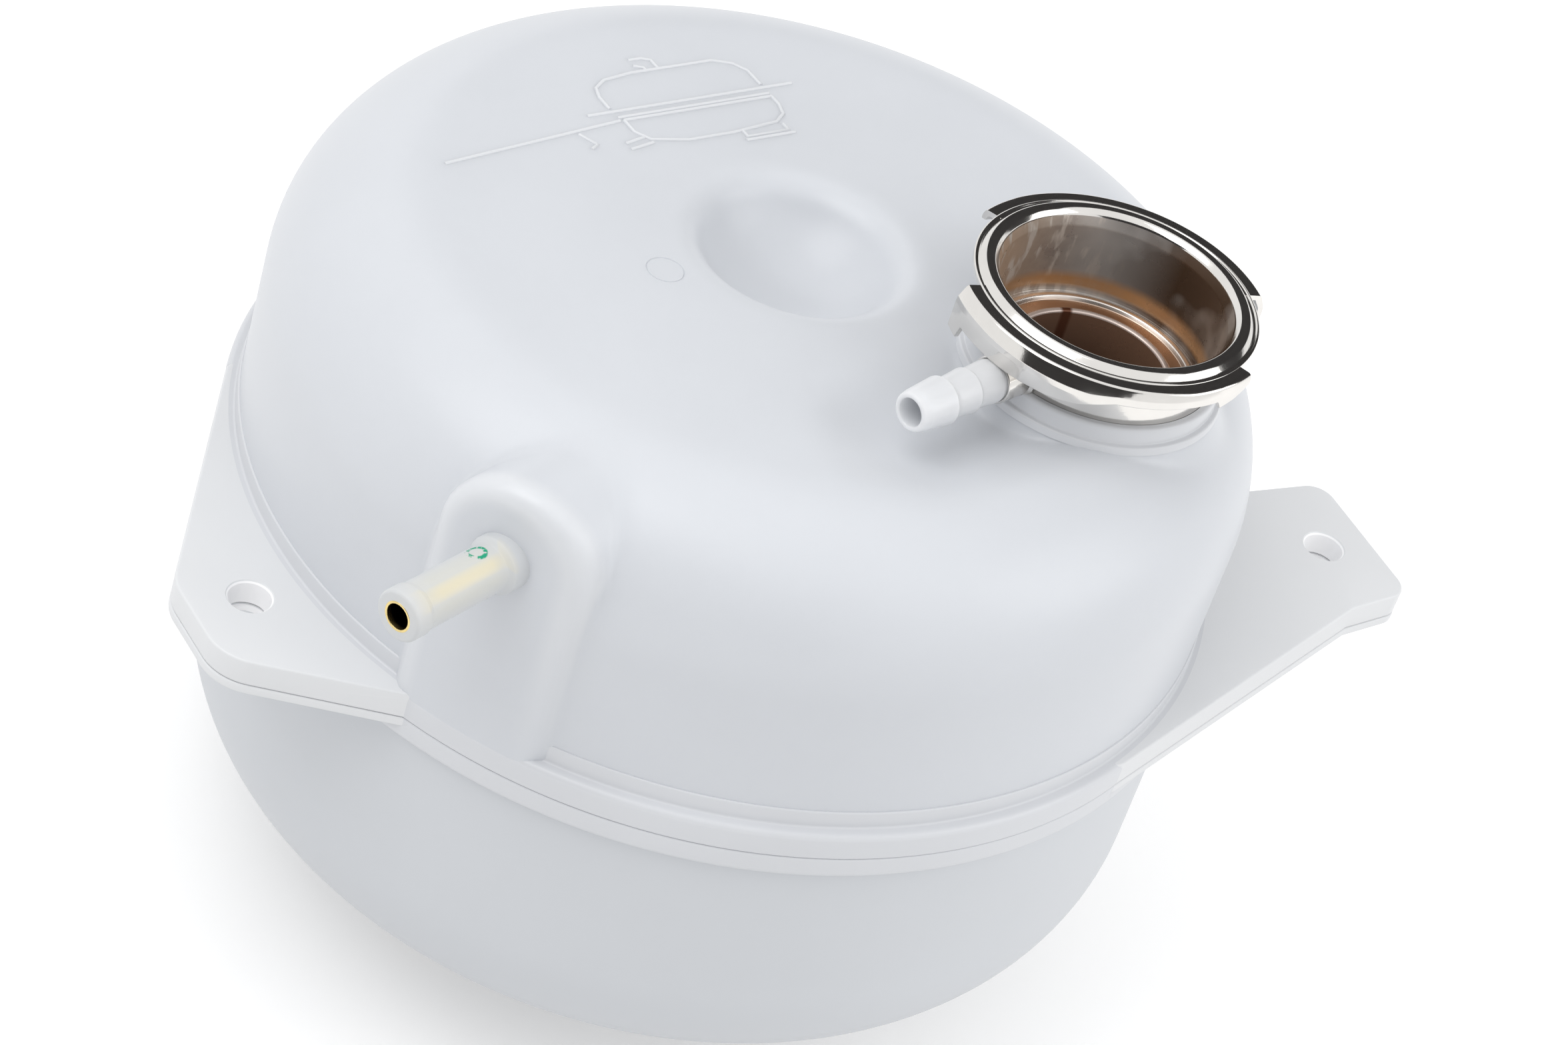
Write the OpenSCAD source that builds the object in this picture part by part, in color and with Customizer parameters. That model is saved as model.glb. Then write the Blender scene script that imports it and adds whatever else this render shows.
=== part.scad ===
// Round coolant expansion tank: two moulded half shells welded at a flange,
// with a nickel plated filler neck, an overflow nipple and two fixing ears.
// The axis of the drum is Z, and the flat of the base lies on Z = 0.

/* [Drum] */
// Outer radius of the upper wall
body_r = 100; // [90:1:110]
// How far the lower wall stands out past the upper wall
lower_step = 1; // [0.5:0.1:1.5]
// Thickness of the moulded walls
wall = 3; // [2.2:0.1:4]
// Height of the weld seam above the base
seam_z = 73; // [60:1:85]
// Height of the top above the weld seam
upper_h = 65; // [58:1:75]
// Radius of the shoulder round the top
shoulder_r = 29; // [22:1:34]
// Radius of the corner round the base
base_r = 32; // [24:1:40]

/* [Flange] */
// How far the flange stands out from the upper wall
flange_out = 3; // [2:0.5:5]
// Thickness of the upper half of the flange
upper_flange_t = 5.8; // [4:0.2:8]
// Thickness of the lower half of the flange
lower_flange_t = 5.2; // [4:0.2:8]
// Rounding of the outer edge of the flange
flange_edge_r = 1.6; // [0.6:0.2:1.8]
// Height of the thicker strip above the flange
strip_h = 3.8; // [2:0.2:6]
// How far the strip stands out from the wall
strip_out = 0.4; // [0.2:0.1:0.8]
// How far the lower ears stand out past the upper ones
ear_lip = 0.8; // [0.2:0.1:1.2]

/* [Ears] */
// Distance from the axis to the left hole, along X
left_hole_x = 108; // [106:1:114]
// Distance from the axis to the right hole, along X
right_hole_x = 127; // [122:1:134]
// Distance of both holes in front of the axis
hole_y = 29.6; // [26:0.2:33]
// Diameter of the fixing holes
hole_d = 8.4; // [6:0.1:9]
// Material round the outer side of a fixing hole
ear_end = 13; // [11:0.5:16]
// Half of the width of an ear
ear_half_w = 18.5; // [16:0.5:20]
// Rounding of the corners of an ear
ear_corner_r = 5; // [3:0.5:8]

/* [Dormer] */
// Direction in which the dormer and its pipe point, in degrees from X
dormer_az = -150.7; // [-156:0.1:-146]
// Sideways distance of the dormer from the drum's axis
dormer_side = 20; // [14:0.5:24]
// Height of the pipe and of the middle of the arch above the base
dormer_z = 119.6; // [112:0.2:121]
// Radius of the arch
arch_r = 15.6; // [13:0.1:16.6]
// Radius of the pipe
pipe_r = 4.7; // [4.4:0.1:6]
// Length of the pipe in front of the dormer
pipe_len = 26.5; // [18:0.5:35]
// Radius of the bead round the tip of the pipe
pipe_bead_r = 5.05; // [4.9:0.05:6.6]
// Length of the bead
pipe_bead_len = 3.5; // [2:0.5:5]
// Radius of the collar at the root of the pipe
pipe_collar_r = 5.7; // [5.2:0.1:7.5]
// Length of the collar
pipe_collar_len = 3.6; // [2:0.2:6]
// Inner radius of the metal liner in the pipe
liner_bore_r = 2.5; // [2:0.1:2.8]
// Wall of the metal liner
liner_wall = 0.5; // [0.3:0.1:0.8]

/* [Top] */
// Radius at which the hollow in the middle of the top starts
hollow_r = 26; // [20:1:30]
// Depth of the hollow in the middle of the top
hollow_depth = 14; // [8:1:18]
// Radius of the shallow trough under the overflow hose
trough_r = 26; // [20:1:32]
// Depth of the trough
trough_depth = 4; // [2:0.5:5]
// Distance from the neck at which the trough ends
trough_len = 50; // [44:1:56]
// Radius of the round moulding mark on the top
gate_r = 3.6; // [2:0.2:5]
// Distance of the moulding mark from the axis
gate_dist = 32; // [30:1:40]
// Direction of the moulding mark, in degrees from X
gate_az = -166.3; // [-175:0.1:-165]

/* [Tower] */
// Distance of the filler neck from the axis of the drum
neck_dist = 60.6; // [57:0.2:63]
// Direction of the filler neck, in degrees from X
neck_az = -39.4; // [-45:0.2:-34]
// Radius of the foot of the tower
tower_foot_r = 33; // [30:0.5:36]
// How far the foot of the tower reaches below the top
tower_drop = 12; // [8:1:16]
// Radius of the lower ring of the tower
tower_ring_r = 26.4; // [26:0.1:28]
// Height of the lower ring above the top
tower_ring_h = 1.2; // [0.6:0.2:2.4]
// Radius of the upper collar of the tower
collar_r = 25.2; // [25:0.1:26]
// Height of the upper collar above the top
collar_h = 4.8; // [4:0.2:6]

/* [Filler neck] */
// Height of the rim of the neck above the top
rim_h = 18; // [15:0.5:22]
// Inner radius of the neck
neck_r = 22.7; // [20:0.1:22.9]
// Thickness of the sheet of the neck
sheet = 1; // [0.8:0.1:1.2]
// Depth of the seat below the rim
seat_depth = 17.8; // [16:0.2:19]
// Inner radius of the seat
seat_r = 15.4; // [12:0.1:18]
// Radius of the round ridge on the seat
ridge_r = 20.6; // [19.5:0.1:21]
// How far the spigot reaches below the seat
spigot_len = 9; // [5:0.5:12]
// Outer radius of the cam flange
cam_r = 31; // [30:0.1:32]
// Depth of the turned down lip along the low half of a cam
lip_h = 6.2; // [4.6:0.2:6.4]
// Depth of the lip along the high half of a cam
high_lip_h = 3.2; // [2.6:0.2:4]
// Depth of the stop at the low end of a cam
stop_h = 9.4; // [8:0.2:10]
// Depth of the small tab at the high end of a cam
tab_h = 5; // [4.4:0.2:6]
// Angle of each of the two notches in the cam flange
notch_angle = 52; // [40:1:66]
// Radius of the middle of the rolled bead on the rim
bead_ring_r = 25.6; // [25:0.1:25.8]
// Radius of the rolled bead itself
bead_r = 1.5; // [1.1:0.1:1.8]

/* [Overflow] */
// Direction in which the overflow points, in degrees from X
overflow_az = -155.6; // [-162:0.1:-150]
// Depth of the overflow's axis below the rim
overflow_depth = 11; // [10.4:0.2:11.4]
// Outer radius of the metal stub
stub_r = 4.7; // [4.6:0.1:5]
// Inner radius of the metal stub
stub_bore_r = 4.2; // [4.1:0.1:4.4]
// Distance from the neck's axis to the end of the stub
stub_end = 30.4; // [28:0.2:32]
// Distance from the neck's axis to the tip of the nipple
nipple_end = 52.6; // [50:0.1:58]
// Radius of the bore of the nipple
nipple_bore_r = 2.8; // [2:0.1:3]
// Radius of the stem of the nipple
nipple_stem_r = 4; // [3.8:0.1:4]
// Radius of the tip of the nipple
nipple_tip_r = 3.7; // [3.4:0.1:3.9]
// Largest radius of the barb at the tip
barb_r = 4.8; // [4.5:0.1:5.2]
// Length of the barb at the tip
barb_len = 7.2; // [5:0.2:8]
// Largest radius of the second barb
second_barb_r = 4.4; // [4.2:0.1:4.8]
// Length of the second barb
second_barb_len = 6; // [4:0.2:7]

/* [Outlet] */
// Distance of the outlet's foot from the axis of the drum
outlet_dist = 33; // [24:1:40]
// Depth of the outlet's axis below the base
outlet_drop = 12; // [11:0.5:16]
// Outer radius of the outlet pipe
outlet_r = 7.5; // [7:0.1:9]
// Inner radius of the liner of the outlet
outlet_bore_r = 4.6; // [3.6:0.1:5]
// Wall of the liner of the outlet
outlet_liner_wall = 0.6; // [0.4:0.1:0.8]
// Length of the outlet pipe from the elbow
outlet_len = 27; // [20:1:30]
// How far the bead at the outlet's tip stands out
outlet_bead = 0.5; // [0.3:0.1:0.8]

/* [Hidden] */
$fn = 96;
eps = 0.01;
far = 400;
fit_gap = 0.05;

// Heights
top_z = seam_z + upper_h;
ledge_z = seam_z + upper_flange_t + strip_h;
rim_z = top_z + rim_h;
seat_z = rim_z - seat_depth;
overflow_z = rim_z - overflow_depth;

// Flange and ears
lower_r = body_r + lower_step;
flange_r = body_r + flange_out;
left_back_az = 159;
left_front_az = -146;
right_root_az = -10;
right_web_az = -59;
ear_skew = 3;
shell_color = [0.88, 0.90, 0.93];
metal_color = [0.78, 0.77, 0.74];
brass_color = [0.80, 0.68, 0.38];

// Filler neck
neck_x = neck_dist * cos(neck_az);
neck_y = neck_dist * sin(neck_az);
neck_out_r = neck_r + sheet;
socket_r = neck_out_r + fit_gap;
seal_t = 2;
socket_z = seat_z - sheet - seal_t;
tower_wall = 2.2;
tower_depth = 8;
tower_bore_r = seat_r + 1.2;
cam_mid_az = -120;
notch_root_r = bead_ring_r + bead_r + 0.4;
cam_angle = 180 - notch_angle;
stop_angle = 7;
low_angle = 60;
ridge_h = 0.8;
throat_corner = 1.2;
barb_gap = 1.4;

// Pipe of the dormer
face_x = sqrt(pow(flange_r, 2) - pow(dormer_side, 2));
pipe_tip_x = face_x + pipe_len;
liner_r = liner_bore_r + liner_wall;
liner_depth = 6;

// Outlet
outlet_liner_r = outlet_bore_r + outlet_liner_wall;
outlet_liner_len = 16;
outlet_bead_len = 3;
outlet_bend_r = outlet_r + 0.5;

// Moulding mark
gate_groove = 0.3;

// Hollow in the middle of the top: a bowl that runs into a rounded rim
hollow_slope = 2 * atan(hollow_depth / hollow_r);
hollow_rim_r = 8;
hollow_bowl_r = hollow_r / sin(hollow_slope) - hollow_rim_r;
arc_steps = 8;

// Solid of revolution with one rounded outer corner at its top
module rounded_drum(r, h, corner) {
    rotate_extrude() {
        square([r, h - corner]);
        square([r - corner, h]);
        translate([r - corner, h - corner]) intersection() {
            circle(corner);
            square(corner + eps);
        }
    }
}

// Ring with its outer edge rounded above and below
module flange_ring(r, t, edge) {
    rotate_extrude() {
        square([r - edge, t]);
        translate([0, edge]) square([r, t - 2 * edge]);
        for (z = [edge, t - edge])
            translate([r - edge, z]) circle(edge);
    }
}

// Straight pipe along X
module rod_x(r, x0, x1) {
    translate([x0, 0, 0]) rotate([0, 90, 0]) cylinder(r = r, h = x1 - x0);
}

// Frame of the dormer: X along its pipe, Z at the middle of its arch
module at_dormer() {
    rotate([0, 0, dormer_az]) translate([0, dormer_side, dormer_z]) children();
}

// Frame of the filler neck, with Z as in the drum
module at_neck() {
    translate([neck_x, neck_y, 0]) children();
}

// Frame of the overflow: X along the nipple
module at_overflow() {
    at_neck() translate([0, 0, overflow_z]) rotate([0, 0, overflow_az]) children();
}

// Frame of the outlet: X along its pipe
module at_outlet() {
    rotate([0, 0, dormer_az]) translate([outlet_dist, 0, 0]) children();
}

// Round rod that runs down out of the base, round the bend and along the outlet
module outlet_core(r, up, reach) {
    bend_z = outlet_bend_r - outlet_drop;
    translate([0, 0, bend_z]) cylinder(r = r, h = up - bend_z);
    translate([outlet_bend_r, 0, bend_z]) rotate([90, 0, 0]) rotate([0, 0, 180])
        rotate_extrude(angle = 90) translate([outlet_bend_r, 0]) circle(r);
    translate([0, 0, -outlet_drop]) rod_x(r, outlet_bend_r, reach);
}

// Arch of the dormer, cut to the round of the flange
module dormer_form(inset) {
    r = arch_r - inset;
    intersection() {
        translate([0, 0, seam_z]) cylinder(r = flange_r - inset, h = far);
        at_dormer() union() {
            rod_x(r, 0, far);
            translate([0, -r, seam_z - dormer_z]) cube([far, 2 * r, dormer_z - seam_z]);
        }
    }
}

// Section of the hollow, moved outwards by the given skin
module hollow_form(skin) {
    bowl_r = hollow_bowl_r + skin;
    rim_r = hollow_rim_r - skin;
    bowl_z = hollow_bowl_r - hollow_depth;
    bowl = [for (i = [0:arc_steps]) let (a = hollow_slope * i / arc_steps)
        [bowl_r * sin(a), bowl_z - bowl_r * cos(a)]];
    rim = [for (i = [arc_steps - 1:-1:0]) let (a = hollow_slope * i / arc_steps)
        [hollow_r - rim_r * sin(a), rim_r * cos(a) - hollow_rim_r]];
    translate([0, 0, top_z]) rotate_extrude()
        polygon(concat(bowl, rim, [[hollow_r, 1], [0, 1]]));
}

// Trough under the overflow hose, moved outwards by the given skin
module trough_form(skin) {
    at_neck() rotate([0, 0, overflow_az])
        translate([0, 0, top_z + trough_r - trough_depth]) {
            rod_x(trough_r + skin, 0, trough_len);
            translate([trough_len, 0, 0]) sphere(trough_r + skin);
        }
}

// Tower under the filler neck
module tower_form(inset) {
    at_neck() translate([0, 0, top_z - tower_drop])
        cylinder(r1 = tower_foot_r - inset, r2 = tower_ring_r - inset, h = tower_drop + tower_ring_h - inset);
}

// Outer form of the upper half, or its inner form when inset by the wall
module upper_form(inset) {
    difference() {
        union() {
            difference() {
                union() {
                    translate([0, 0, seam_z])
                        rounded_drum(body_r - inset, upper_h - inset, shoulder_r - inset);
                    dormer_form(inset);
                }
                trough_form(inset);
            }
            tower_form(inset);
        }
        hollow_form(inset);
    }
}

// Outline of the left ear
module left_ear(grow) {
    turn = atan2(hole_y, left_hole_x);
    corner = ear_corner_r + grow;
    reach = ear_end - ear_corner_r;
    side = ear_half_w - ear_corner_r;
    hull() {
        translate([-left_hole_x, -hole_y]) rotate(turn + 180) {
            translate([reach, side]) circle(corner, $fn = 32);
            translate([reach - 1, ear_skew - side]) circle(corner, $fn = 32);
        }
        for (az = [left_back_az, left_front_az])
            rotate(az) translate([body_r, 0]) circle(flange_out + grow, $fn = 32);
    }
}

// Outline of the right ear, with the web that runs down to the flange
module right_ear(grow) {
    corner = ear_corner_r + grow;
    reach = ear_end - ear_corner_r;
    side = ear_half_w - ear_corner_r;
    web_corner = [right_hole_x - ear_skew - 1, -hole_y - side - 1];
    hull() {
        translate([right_hole_x + reach - ear_skew, side - hole_y + 1]) circle(corner, $fn = 32);
        translate([right_hole_x + reach, -hole_y - side + 2]) circle(corner, $fn = 32);
        translate(web_corner) circle(corner, $fn = 32);
        rotate(right_root_az) translate([body_r + 1, 0]) circle(corner, $fn = 32);
    }
    hull() {
        translate(web_corner) circle(corner, $fn = 32);
        rotate(right_root_az) translate([body_r - corner, 0]) circle(corner, $fn = 32);
        rotate(right_web_az) translate([body_r, 0]) circle(flange_out + grow, $fn = 32);
    }
}

// Both ears and their share of the flange, as a flat plate
module ear_plate(t, grow) {
    linear_extrude(t) {
        left_ear(grow);
        right_ear(grow);
    }
}

// Through holes of both ears
module ear_holes() {
    for (x = [-left_hole_x, right_hole_x])
        translate([x, -hole_y, 0]) cylinder(d = hole_d, h = far);
}

// Upper half: wall, dormer with its pipe, tower, flange and ears in one moulding
module upper_shell() {
    color(shell_color) difference() {
        union() {
            upper_form(0);
            translate([0, 0, seam_z]) {
                flange_ring(flange_r, upper_flange_t, flange_edge_r);
                cylinder(r = body_r + strip_out, h = upper_flange_t + strip_h);
                ear_plate(upper_flange_t, 0);
            }
            at_neck() translate([0, 0, top_z - tower_depth])
                cylinder(r = collar_r, h = tower_depth + collar_h);
            at_dormer() {
                rod_x(pipe_r, face_x - liner_depth, pipe_tip_x);
                rod_x(pipe_bead_r, pipe_tip_x - pipe_bead_len, pipe_tip_x);
                rod_x(pipe_collar_r, face_x - liner_depth, face_x + pipe_collar_len);
            }
        }
        difference() {
            translate([0, 0, -eps]) upper_form(wall);
            at_neck() translate([0, 0, top_z - tower_depth])
                cylinder(r = socket_r + tower_wall, h = far);
            at_dormer() rod_x(pipe_collar_r, face_x - liner_depth, far);
        }
        at_neck() {
            translate([0, 0, socket_z]) cylinder(r = socket_r, h = far);
            translate([0, 0, seam_z + upper_flange_t]) cylinder(r = tower_bore_r, h = far);
        }
        at_dormer() rod_x(liner_r, 0, far);
        at_overflow() rod_x(stub_r + fit_gap, neck_r, stub_end);
        ear_holes();
        rotate([0, 0, gate_az]) translate([gate_dist, 0, top_z - gate_groove]) difference() {
            cylinder(r = gate_r + gate_groove, h = 1);
            cylinder(r = gate_r, h = 1);
        }
    }
}

// Lower half: wall, flange, ears and the outlet elbow in one moulding
module lower_shell() {
    color(shell_color) difference() {
        union() {
            translate([0, 0, seam_z]) mirror([0, 0, 1]) {
                rounded_drum(lower_r, seam_z, base_r);
                flange_ring(flange_r, lower_flange_t, flange_edge_r);
                ear_plate(lower_flange_t, ear_lip);
            }
            at_outlet() {
                outlet_core(outlet_r, eps, outlet_len);
                translate([0, 0, -outlet_drop])
                    rod_x(outlet_r + outlet_bead, outlet_len - outlet_bead_len, outlet_len);
            }
        }
        translate([0, 0, seam_z + eps]) mirror([0, 0, 1])
            rounded_drum(lower_r - wall, seam_z - wall, base_r - wall);
        at_outlet() {
            outlet_core(outlet_bore_r, wall + 1, outlet_len + 1);
            translate([0, 0, -outlet_drop])
                rod_x(outlet_liner_r, outlet_len - outlet_liner_len, outlet_len + 1);
        }
        ear_holes();
    }
}

// Metal tube moulded into the pipe of the dormer
module return_liner() {
    color(brass_color) at_dormer() difference() {
        rod_x(liner_r, face_x - liner_depth, pipe_tip_x);
        rod_x(liner_bore_r, 0, far);
    }
}

// Metal tube moulded into the outlet
module outlet_liner() {
    color(brass_color) at_outlet() translate([0, 0, -outlet_drop]) difference() {
        rod_x(outlet_liner_r, outlet_len - outlet_liner_len, outlet_len);
        rod_x(outlet_bore_r, 0, far);
    }
}

// Sector of a ring, centred on the given direction
module ring_sector(r0, r1, h, mid, angle) {
    rotate([0, 0, mid - angle / 2]) rotate_extrude(angle = angle)
        translate([r0, 0]) square([r1 - r0, h]);
}

// Section of the rolled rim: bead, flat and turned down lip
module rim_section() {
    translate([neck_r, -sheet]) square([cam_r - neck_r, sheet]);
    translate([cam_r - sheet, -stop_h]) square([sheet, stop_h]);
    translate([bead_ring_r, 0]) circle(bead_r, $fn = 48);
}

// Shortens the turned down lip to a depth, from one angle to another past a cam's low end
module lip_cut(low_end_az, from, to, depth) {
    translate([0, 0, rim_z - stop_h - 1])
        ring_sector(cam_r - sheet - 1, cam_r + 1, stop_h - depth + 1, low_end_az + (from + to) / 2, to - from);
}

// Drawn sheet neck: tube, in-turned seat with a spigot, and a rim rolled out to two cams
module filler_neck() {
    color(metal_color) at_neck() {
        difference() {
            union() {
                translate([0, 0, seat_z - sheet]) cylinder(r = neck_out_r, h = seat_depth);
                translate([0, 0, seat_z - spigot_len]) cylinder(r = seat_r + sheet, h = spigot_len);
                translate([0, 0, rim_z]) rotate_extrude() rim_section();
            }
            translate([0, 0, seat_z]) difference() {
                translate([0, 0, seat_depth + 3]) mirror([0, 0, 1])
                    rounded_drum(neck_r, seat_depth + 3, throat_corner);
                rotate_extrude() translate([ridge_r, 0]) circle(ridge_h, $fn = 24);
            }
            cylinder(r = seat_r, h = far);
            for (mid = [cam_mid_az, cam_mid_az + 180]) {
                low_end_az = mid - cam_angle / 2;
                translate([0, 0, rim_z - stop_h - 1])
                    ring_sector(notch_root_r, cam_r + 1, stop_h + 3, mid + 90, notch_angle);
                lip_cut(low_end_az, stop_angle, low_angle + stop_angle, lip_h);
                lip_cut(low_end_az, low_angle, cam_angle - stop_angle, high_lip_h);
                lip_cut(low_end_az, cam_angle - 2 * stop_angle, cam_angle + stop_angle, tab_h);
            }
            translate([0, 0, overflow_z]) rotate([0, 0, overflow_az]) {
                rod_x(stub_bore_r, 0, far);
                rod_x(stub_r + fit_gap, neck_out_r + 1, far);
            }
        }
    }
}

// Flat rubber ring between the ledge of the tower and the neck
module neck_seal() {
    color([0.1, 0.1, 0.1]) at_neck() translate([0, 0, socket_z]) difference() {
        cylinder(r = neck_out_r, h = seal_t);
        translate([0, 0, -1]) cylinder(r = tower_bore_r, h = seal_t + 2);
    }
}

// Metal stub brazed to the side of the neck
module overflow_stub() {
    color(metal_color) at_overflow() difference() {
        rod_x(stub_r, neck_r + 0.2, stub_end);
        rod_x(stub_bore_r, 0, far);
        translate([0, 0, -overflow_z]) cylinder(r = neck_out_r, h = far);
    }
}

// One barb of the nipple: its wide end at x0, its narrow end towards the tip
module barb(x0, wide, narrow, len) {
    translate([x0, 0, 0]) rotate([0, 90, 0]) cylinder(r1 = wide, r2 = narrow, h = len);
}

// Barbed plastic nipple pushed into the stub
module overflow_nipple() {
    first_x = nipple_end - barb_len;
    second_x = first_x - barb_gap - second_barb_len;
    color([0.93, 0.94, 0.95]) at_overflow() difference() {
        union() {
            rod_x(stub_bore_r - fit_gap, neck_out_r + 1, stub_end);
            rod_x(nipple_stem_r, stub_end - eps, first_x + eps);
            barb(second_x, second_barb_r, nipple_stem_r - 0.1, second_barb_len);
            barb(first_x, barb_r, nipple_tip_r, barb_len);
        }
        rod_x(nipple_bore_r, 0, far);
    }
}

upper_shell();
lower_shell();
return_liner();
outlet_liner();
filler_neck();
neck_seal();
overflow_stub();
overflow_nipple();
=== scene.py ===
"""Looks of a round coolant expansion tank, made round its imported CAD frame."""
import math

import bmesh
import bpy
import numpy as np
from bpy.props import FloatProperty, FloatVectorProperty, IntProperty, PointerProperty
from mathutils import Matrix, Vector


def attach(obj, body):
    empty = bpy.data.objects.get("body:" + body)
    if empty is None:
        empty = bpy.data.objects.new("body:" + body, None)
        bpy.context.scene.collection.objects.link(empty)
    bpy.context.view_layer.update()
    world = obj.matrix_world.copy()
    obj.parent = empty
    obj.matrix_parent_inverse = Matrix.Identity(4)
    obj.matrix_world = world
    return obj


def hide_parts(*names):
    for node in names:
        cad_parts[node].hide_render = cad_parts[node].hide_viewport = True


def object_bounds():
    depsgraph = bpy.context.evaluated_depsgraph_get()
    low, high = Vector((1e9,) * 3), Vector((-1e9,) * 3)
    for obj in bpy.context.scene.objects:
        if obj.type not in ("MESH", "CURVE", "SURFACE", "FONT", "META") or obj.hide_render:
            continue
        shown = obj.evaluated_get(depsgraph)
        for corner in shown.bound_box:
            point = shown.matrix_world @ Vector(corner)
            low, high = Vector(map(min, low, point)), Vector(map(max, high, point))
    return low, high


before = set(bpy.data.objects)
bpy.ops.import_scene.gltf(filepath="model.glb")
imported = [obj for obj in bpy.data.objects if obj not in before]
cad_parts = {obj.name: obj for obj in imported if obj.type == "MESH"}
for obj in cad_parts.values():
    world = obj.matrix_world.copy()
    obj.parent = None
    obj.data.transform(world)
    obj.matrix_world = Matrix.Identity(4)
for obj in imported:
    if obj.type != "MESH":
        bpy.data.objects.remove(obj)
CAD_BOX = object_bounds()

bl_info = {
    "name": "Coolant Expansion Tank",
    "version": (1, 0, 0),
    "blender": (4, 5, 0),
    "location": "View3D > Sidebar > Tank",
    "description": "Builds the looks of a round coolant expansion tank round its CAD frame",
    "category": "Object",
}

MM = 0.001
SEAM_GAP = 0.05 * MM


# Settings


def length(name, default, description):
    """A size that the user can change, with its default in millimetres."""
    return FloatProperty(name=name, description=description, default=default * MM,
                         subtype="DISTANCE", unit="LENGTH", precision=5)


def angle(name, default, description):
    """An angle that the user can change, with its default in degrees."""
    return FloatProperty(name=name, description=description, default=math.radians(default),
                         subtype="ANGLE", unit="ROTATION")


def colour(name, default, description):
    """A colour that the user can change."""
    return FloatVectorProperty(name=name, description=description, default=(*default, 1.0),
                               size=4, min=0.0, max=1.0, subtype="COLOR")


class TankSizes(bpy.types.PropertyGroup):
    """Sizes of the two moulded halves."""
    body_radius: length("Body radius", 100, "Outer radius of the upper wall")
    lower_radius: length("Lower radius", 101, "Outer radius of the lower wall")
    wall: length("Wall", 3, "Thickness of the moulded walls")
    seam_height: length("Seam height", 73, "Height of the weld seam above the base")
    top_height: length("Top height", 138, "Height of the top above the base")
    shoulder: length("Shoulder radius", 29, "Rounding of the shoulder round the top")
    base_corner: length("Base corner", 32, "Rounding of the corner round the base")
    flange_radius: length("Flange radius", 103, "Outer radius of the flange")
    upper_flange: length("Upper flange", 5.8, "Thickness of the upper half of the flange")
    lower_flange: length("Lower flange", 5.2, "Thickness of the lower half of the flange")
    flange_edge: length("Flange edge", 1.6, "Rounding of the flange's outer edge")
    strip_height: length("Strip height", 3.8, "Height of the strip above the flange")
    strip_out: length("Strip depth", 0.4, "How far the strip stands out")
    left_hole: length("Left hole", 108, "Distance of the left hole from the axis, along X")
    right_hole: length("Right hole", 127, "Distance of the right hole from the axis, along X")
    hole_front: length("Hole line", 29.6, "Distance of both holes in front of the axis")
    hole_radius: length("Hole radius", 4.2, "Radius of the fixing holes")
    cell: length("Mesh cell", 1.5, "Size of the cells that the upper half is meshed with")


class DormerSizes(bpy.types.PropertyGroup):
    """Sizes of the arched dormer and of its hose pipe."""
    direction: angle("Direction", -150.7, "Direction in which the pipe points")
    side: length("Side", 20, "Sideways distance of the pipe from the drum's axis")
    height: length("Height", 119.6, "Height of the pipe's axis")
    arch: length("Arch radius", 15.6, "Radius of the dormer's arch")
    edge: length("Edge", 3.4, "Rounding round the dormer's face")
    pipe: length("Pipe radius", 4.7, "Outer radius of the pipe")
    pipe_length: length("Pipe length", 26.5, "Length of the pipe in front of the dormer")
    liner: length("Liner radius", 3.0, "Outer radius of the brass liner")
    bore: length("Liner bore", 2.5, "Inner radius of the brass liner")


class NeckSizes(bpy.types.PropertyGroup):
    """Sizes of the filler neck, its tower and its overflow."""
    distance: length("Distance", 60.6, "Distance of the neck from the drum's axis")
    direction: angle("Direction", -39.4, "Direction of the neck from the drum's axis")
    rim_height: length("Rim height", 156, "Height of the flat of the rim")
    bore: length("Bore", 22.7, "Inner radius of the neck")
    sheet: length("Sheet", 1, "Thickness of the neck's sheet")
    seat_depth: length("Seat depth", 17.8, "Depth of the seat below the rim")
    seat: length("Seat radius", 15.4, "Inner radius of the seat")
    cam: length("Cam radius", 31, "Outer radius of the cam flange")
    bead: length("Bead radius", 25.6, "Radius of the middle of the rolled bead")
    overflow: angle("Overflow direction", -157, "Direction of the overflow nipple")
    overflow_depth: length("Overflow depth", 11, "Depth of the overflow's axis below the rim")


class TankColours(bpy.types.PropertyGroup):
    """Colours of the finishes."""
    # The upper half, lower half, flange, ears and raised lines are one plastic; their tones are lit and
    # shaded copies of it, as painted light: the flange, the ears and the raised lines lighter, the lower half
    # darker.
    upper: colour("Upper half", (0.640, 0.660, 0.695), "Plastic of the upper half")
    lower: colour("Lower half", (0.610, 0.630, 0.660), "Plastic of the lower half")
    flange: colour("Flange", (0.655, 0.668, 0.695), "Plastic of the flange")
    ear: colour("Ears", (0.730, 0.740, 0.755), "Plastic of the ears")
    # Pale tone of a painted highlight along the dormer's edge.
    edge_highlight: colour("Dormer edge", (0.695, 0.710, 0.735), "Plastic where the dormer's edge is thick")
    line: colour("Raised lines", (0.700, 0.715, 0.740), "Plastic of the raised lines")
    nipple: colour("Nipple", (0.70, 0.71, 0.73), "Milky plastic of the overflow nipple")
    nickel: colour("Nickel", (0.80, 0.78, 0.75), "Plating of the filler neck")
    tarnish: colour("Tarnish", (0.55, 0.38, 0.27), "Tan tarnish on the seat of the filler neck")
    brass: colour("Brass", (0.83, 0.66, 0.30), "Metal of the liners")
    ink: colour("Ink", (0.02, 0.42, 0.24), "Ink of the ring mark on the pipe")
    rubber: colour("Rubber", (0.03, 0.03, 0.03), "Rubber of the seal")
    floor: colour("Floor", (0.80, 0.80, 0.80), "Floor of the studio")


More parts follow.
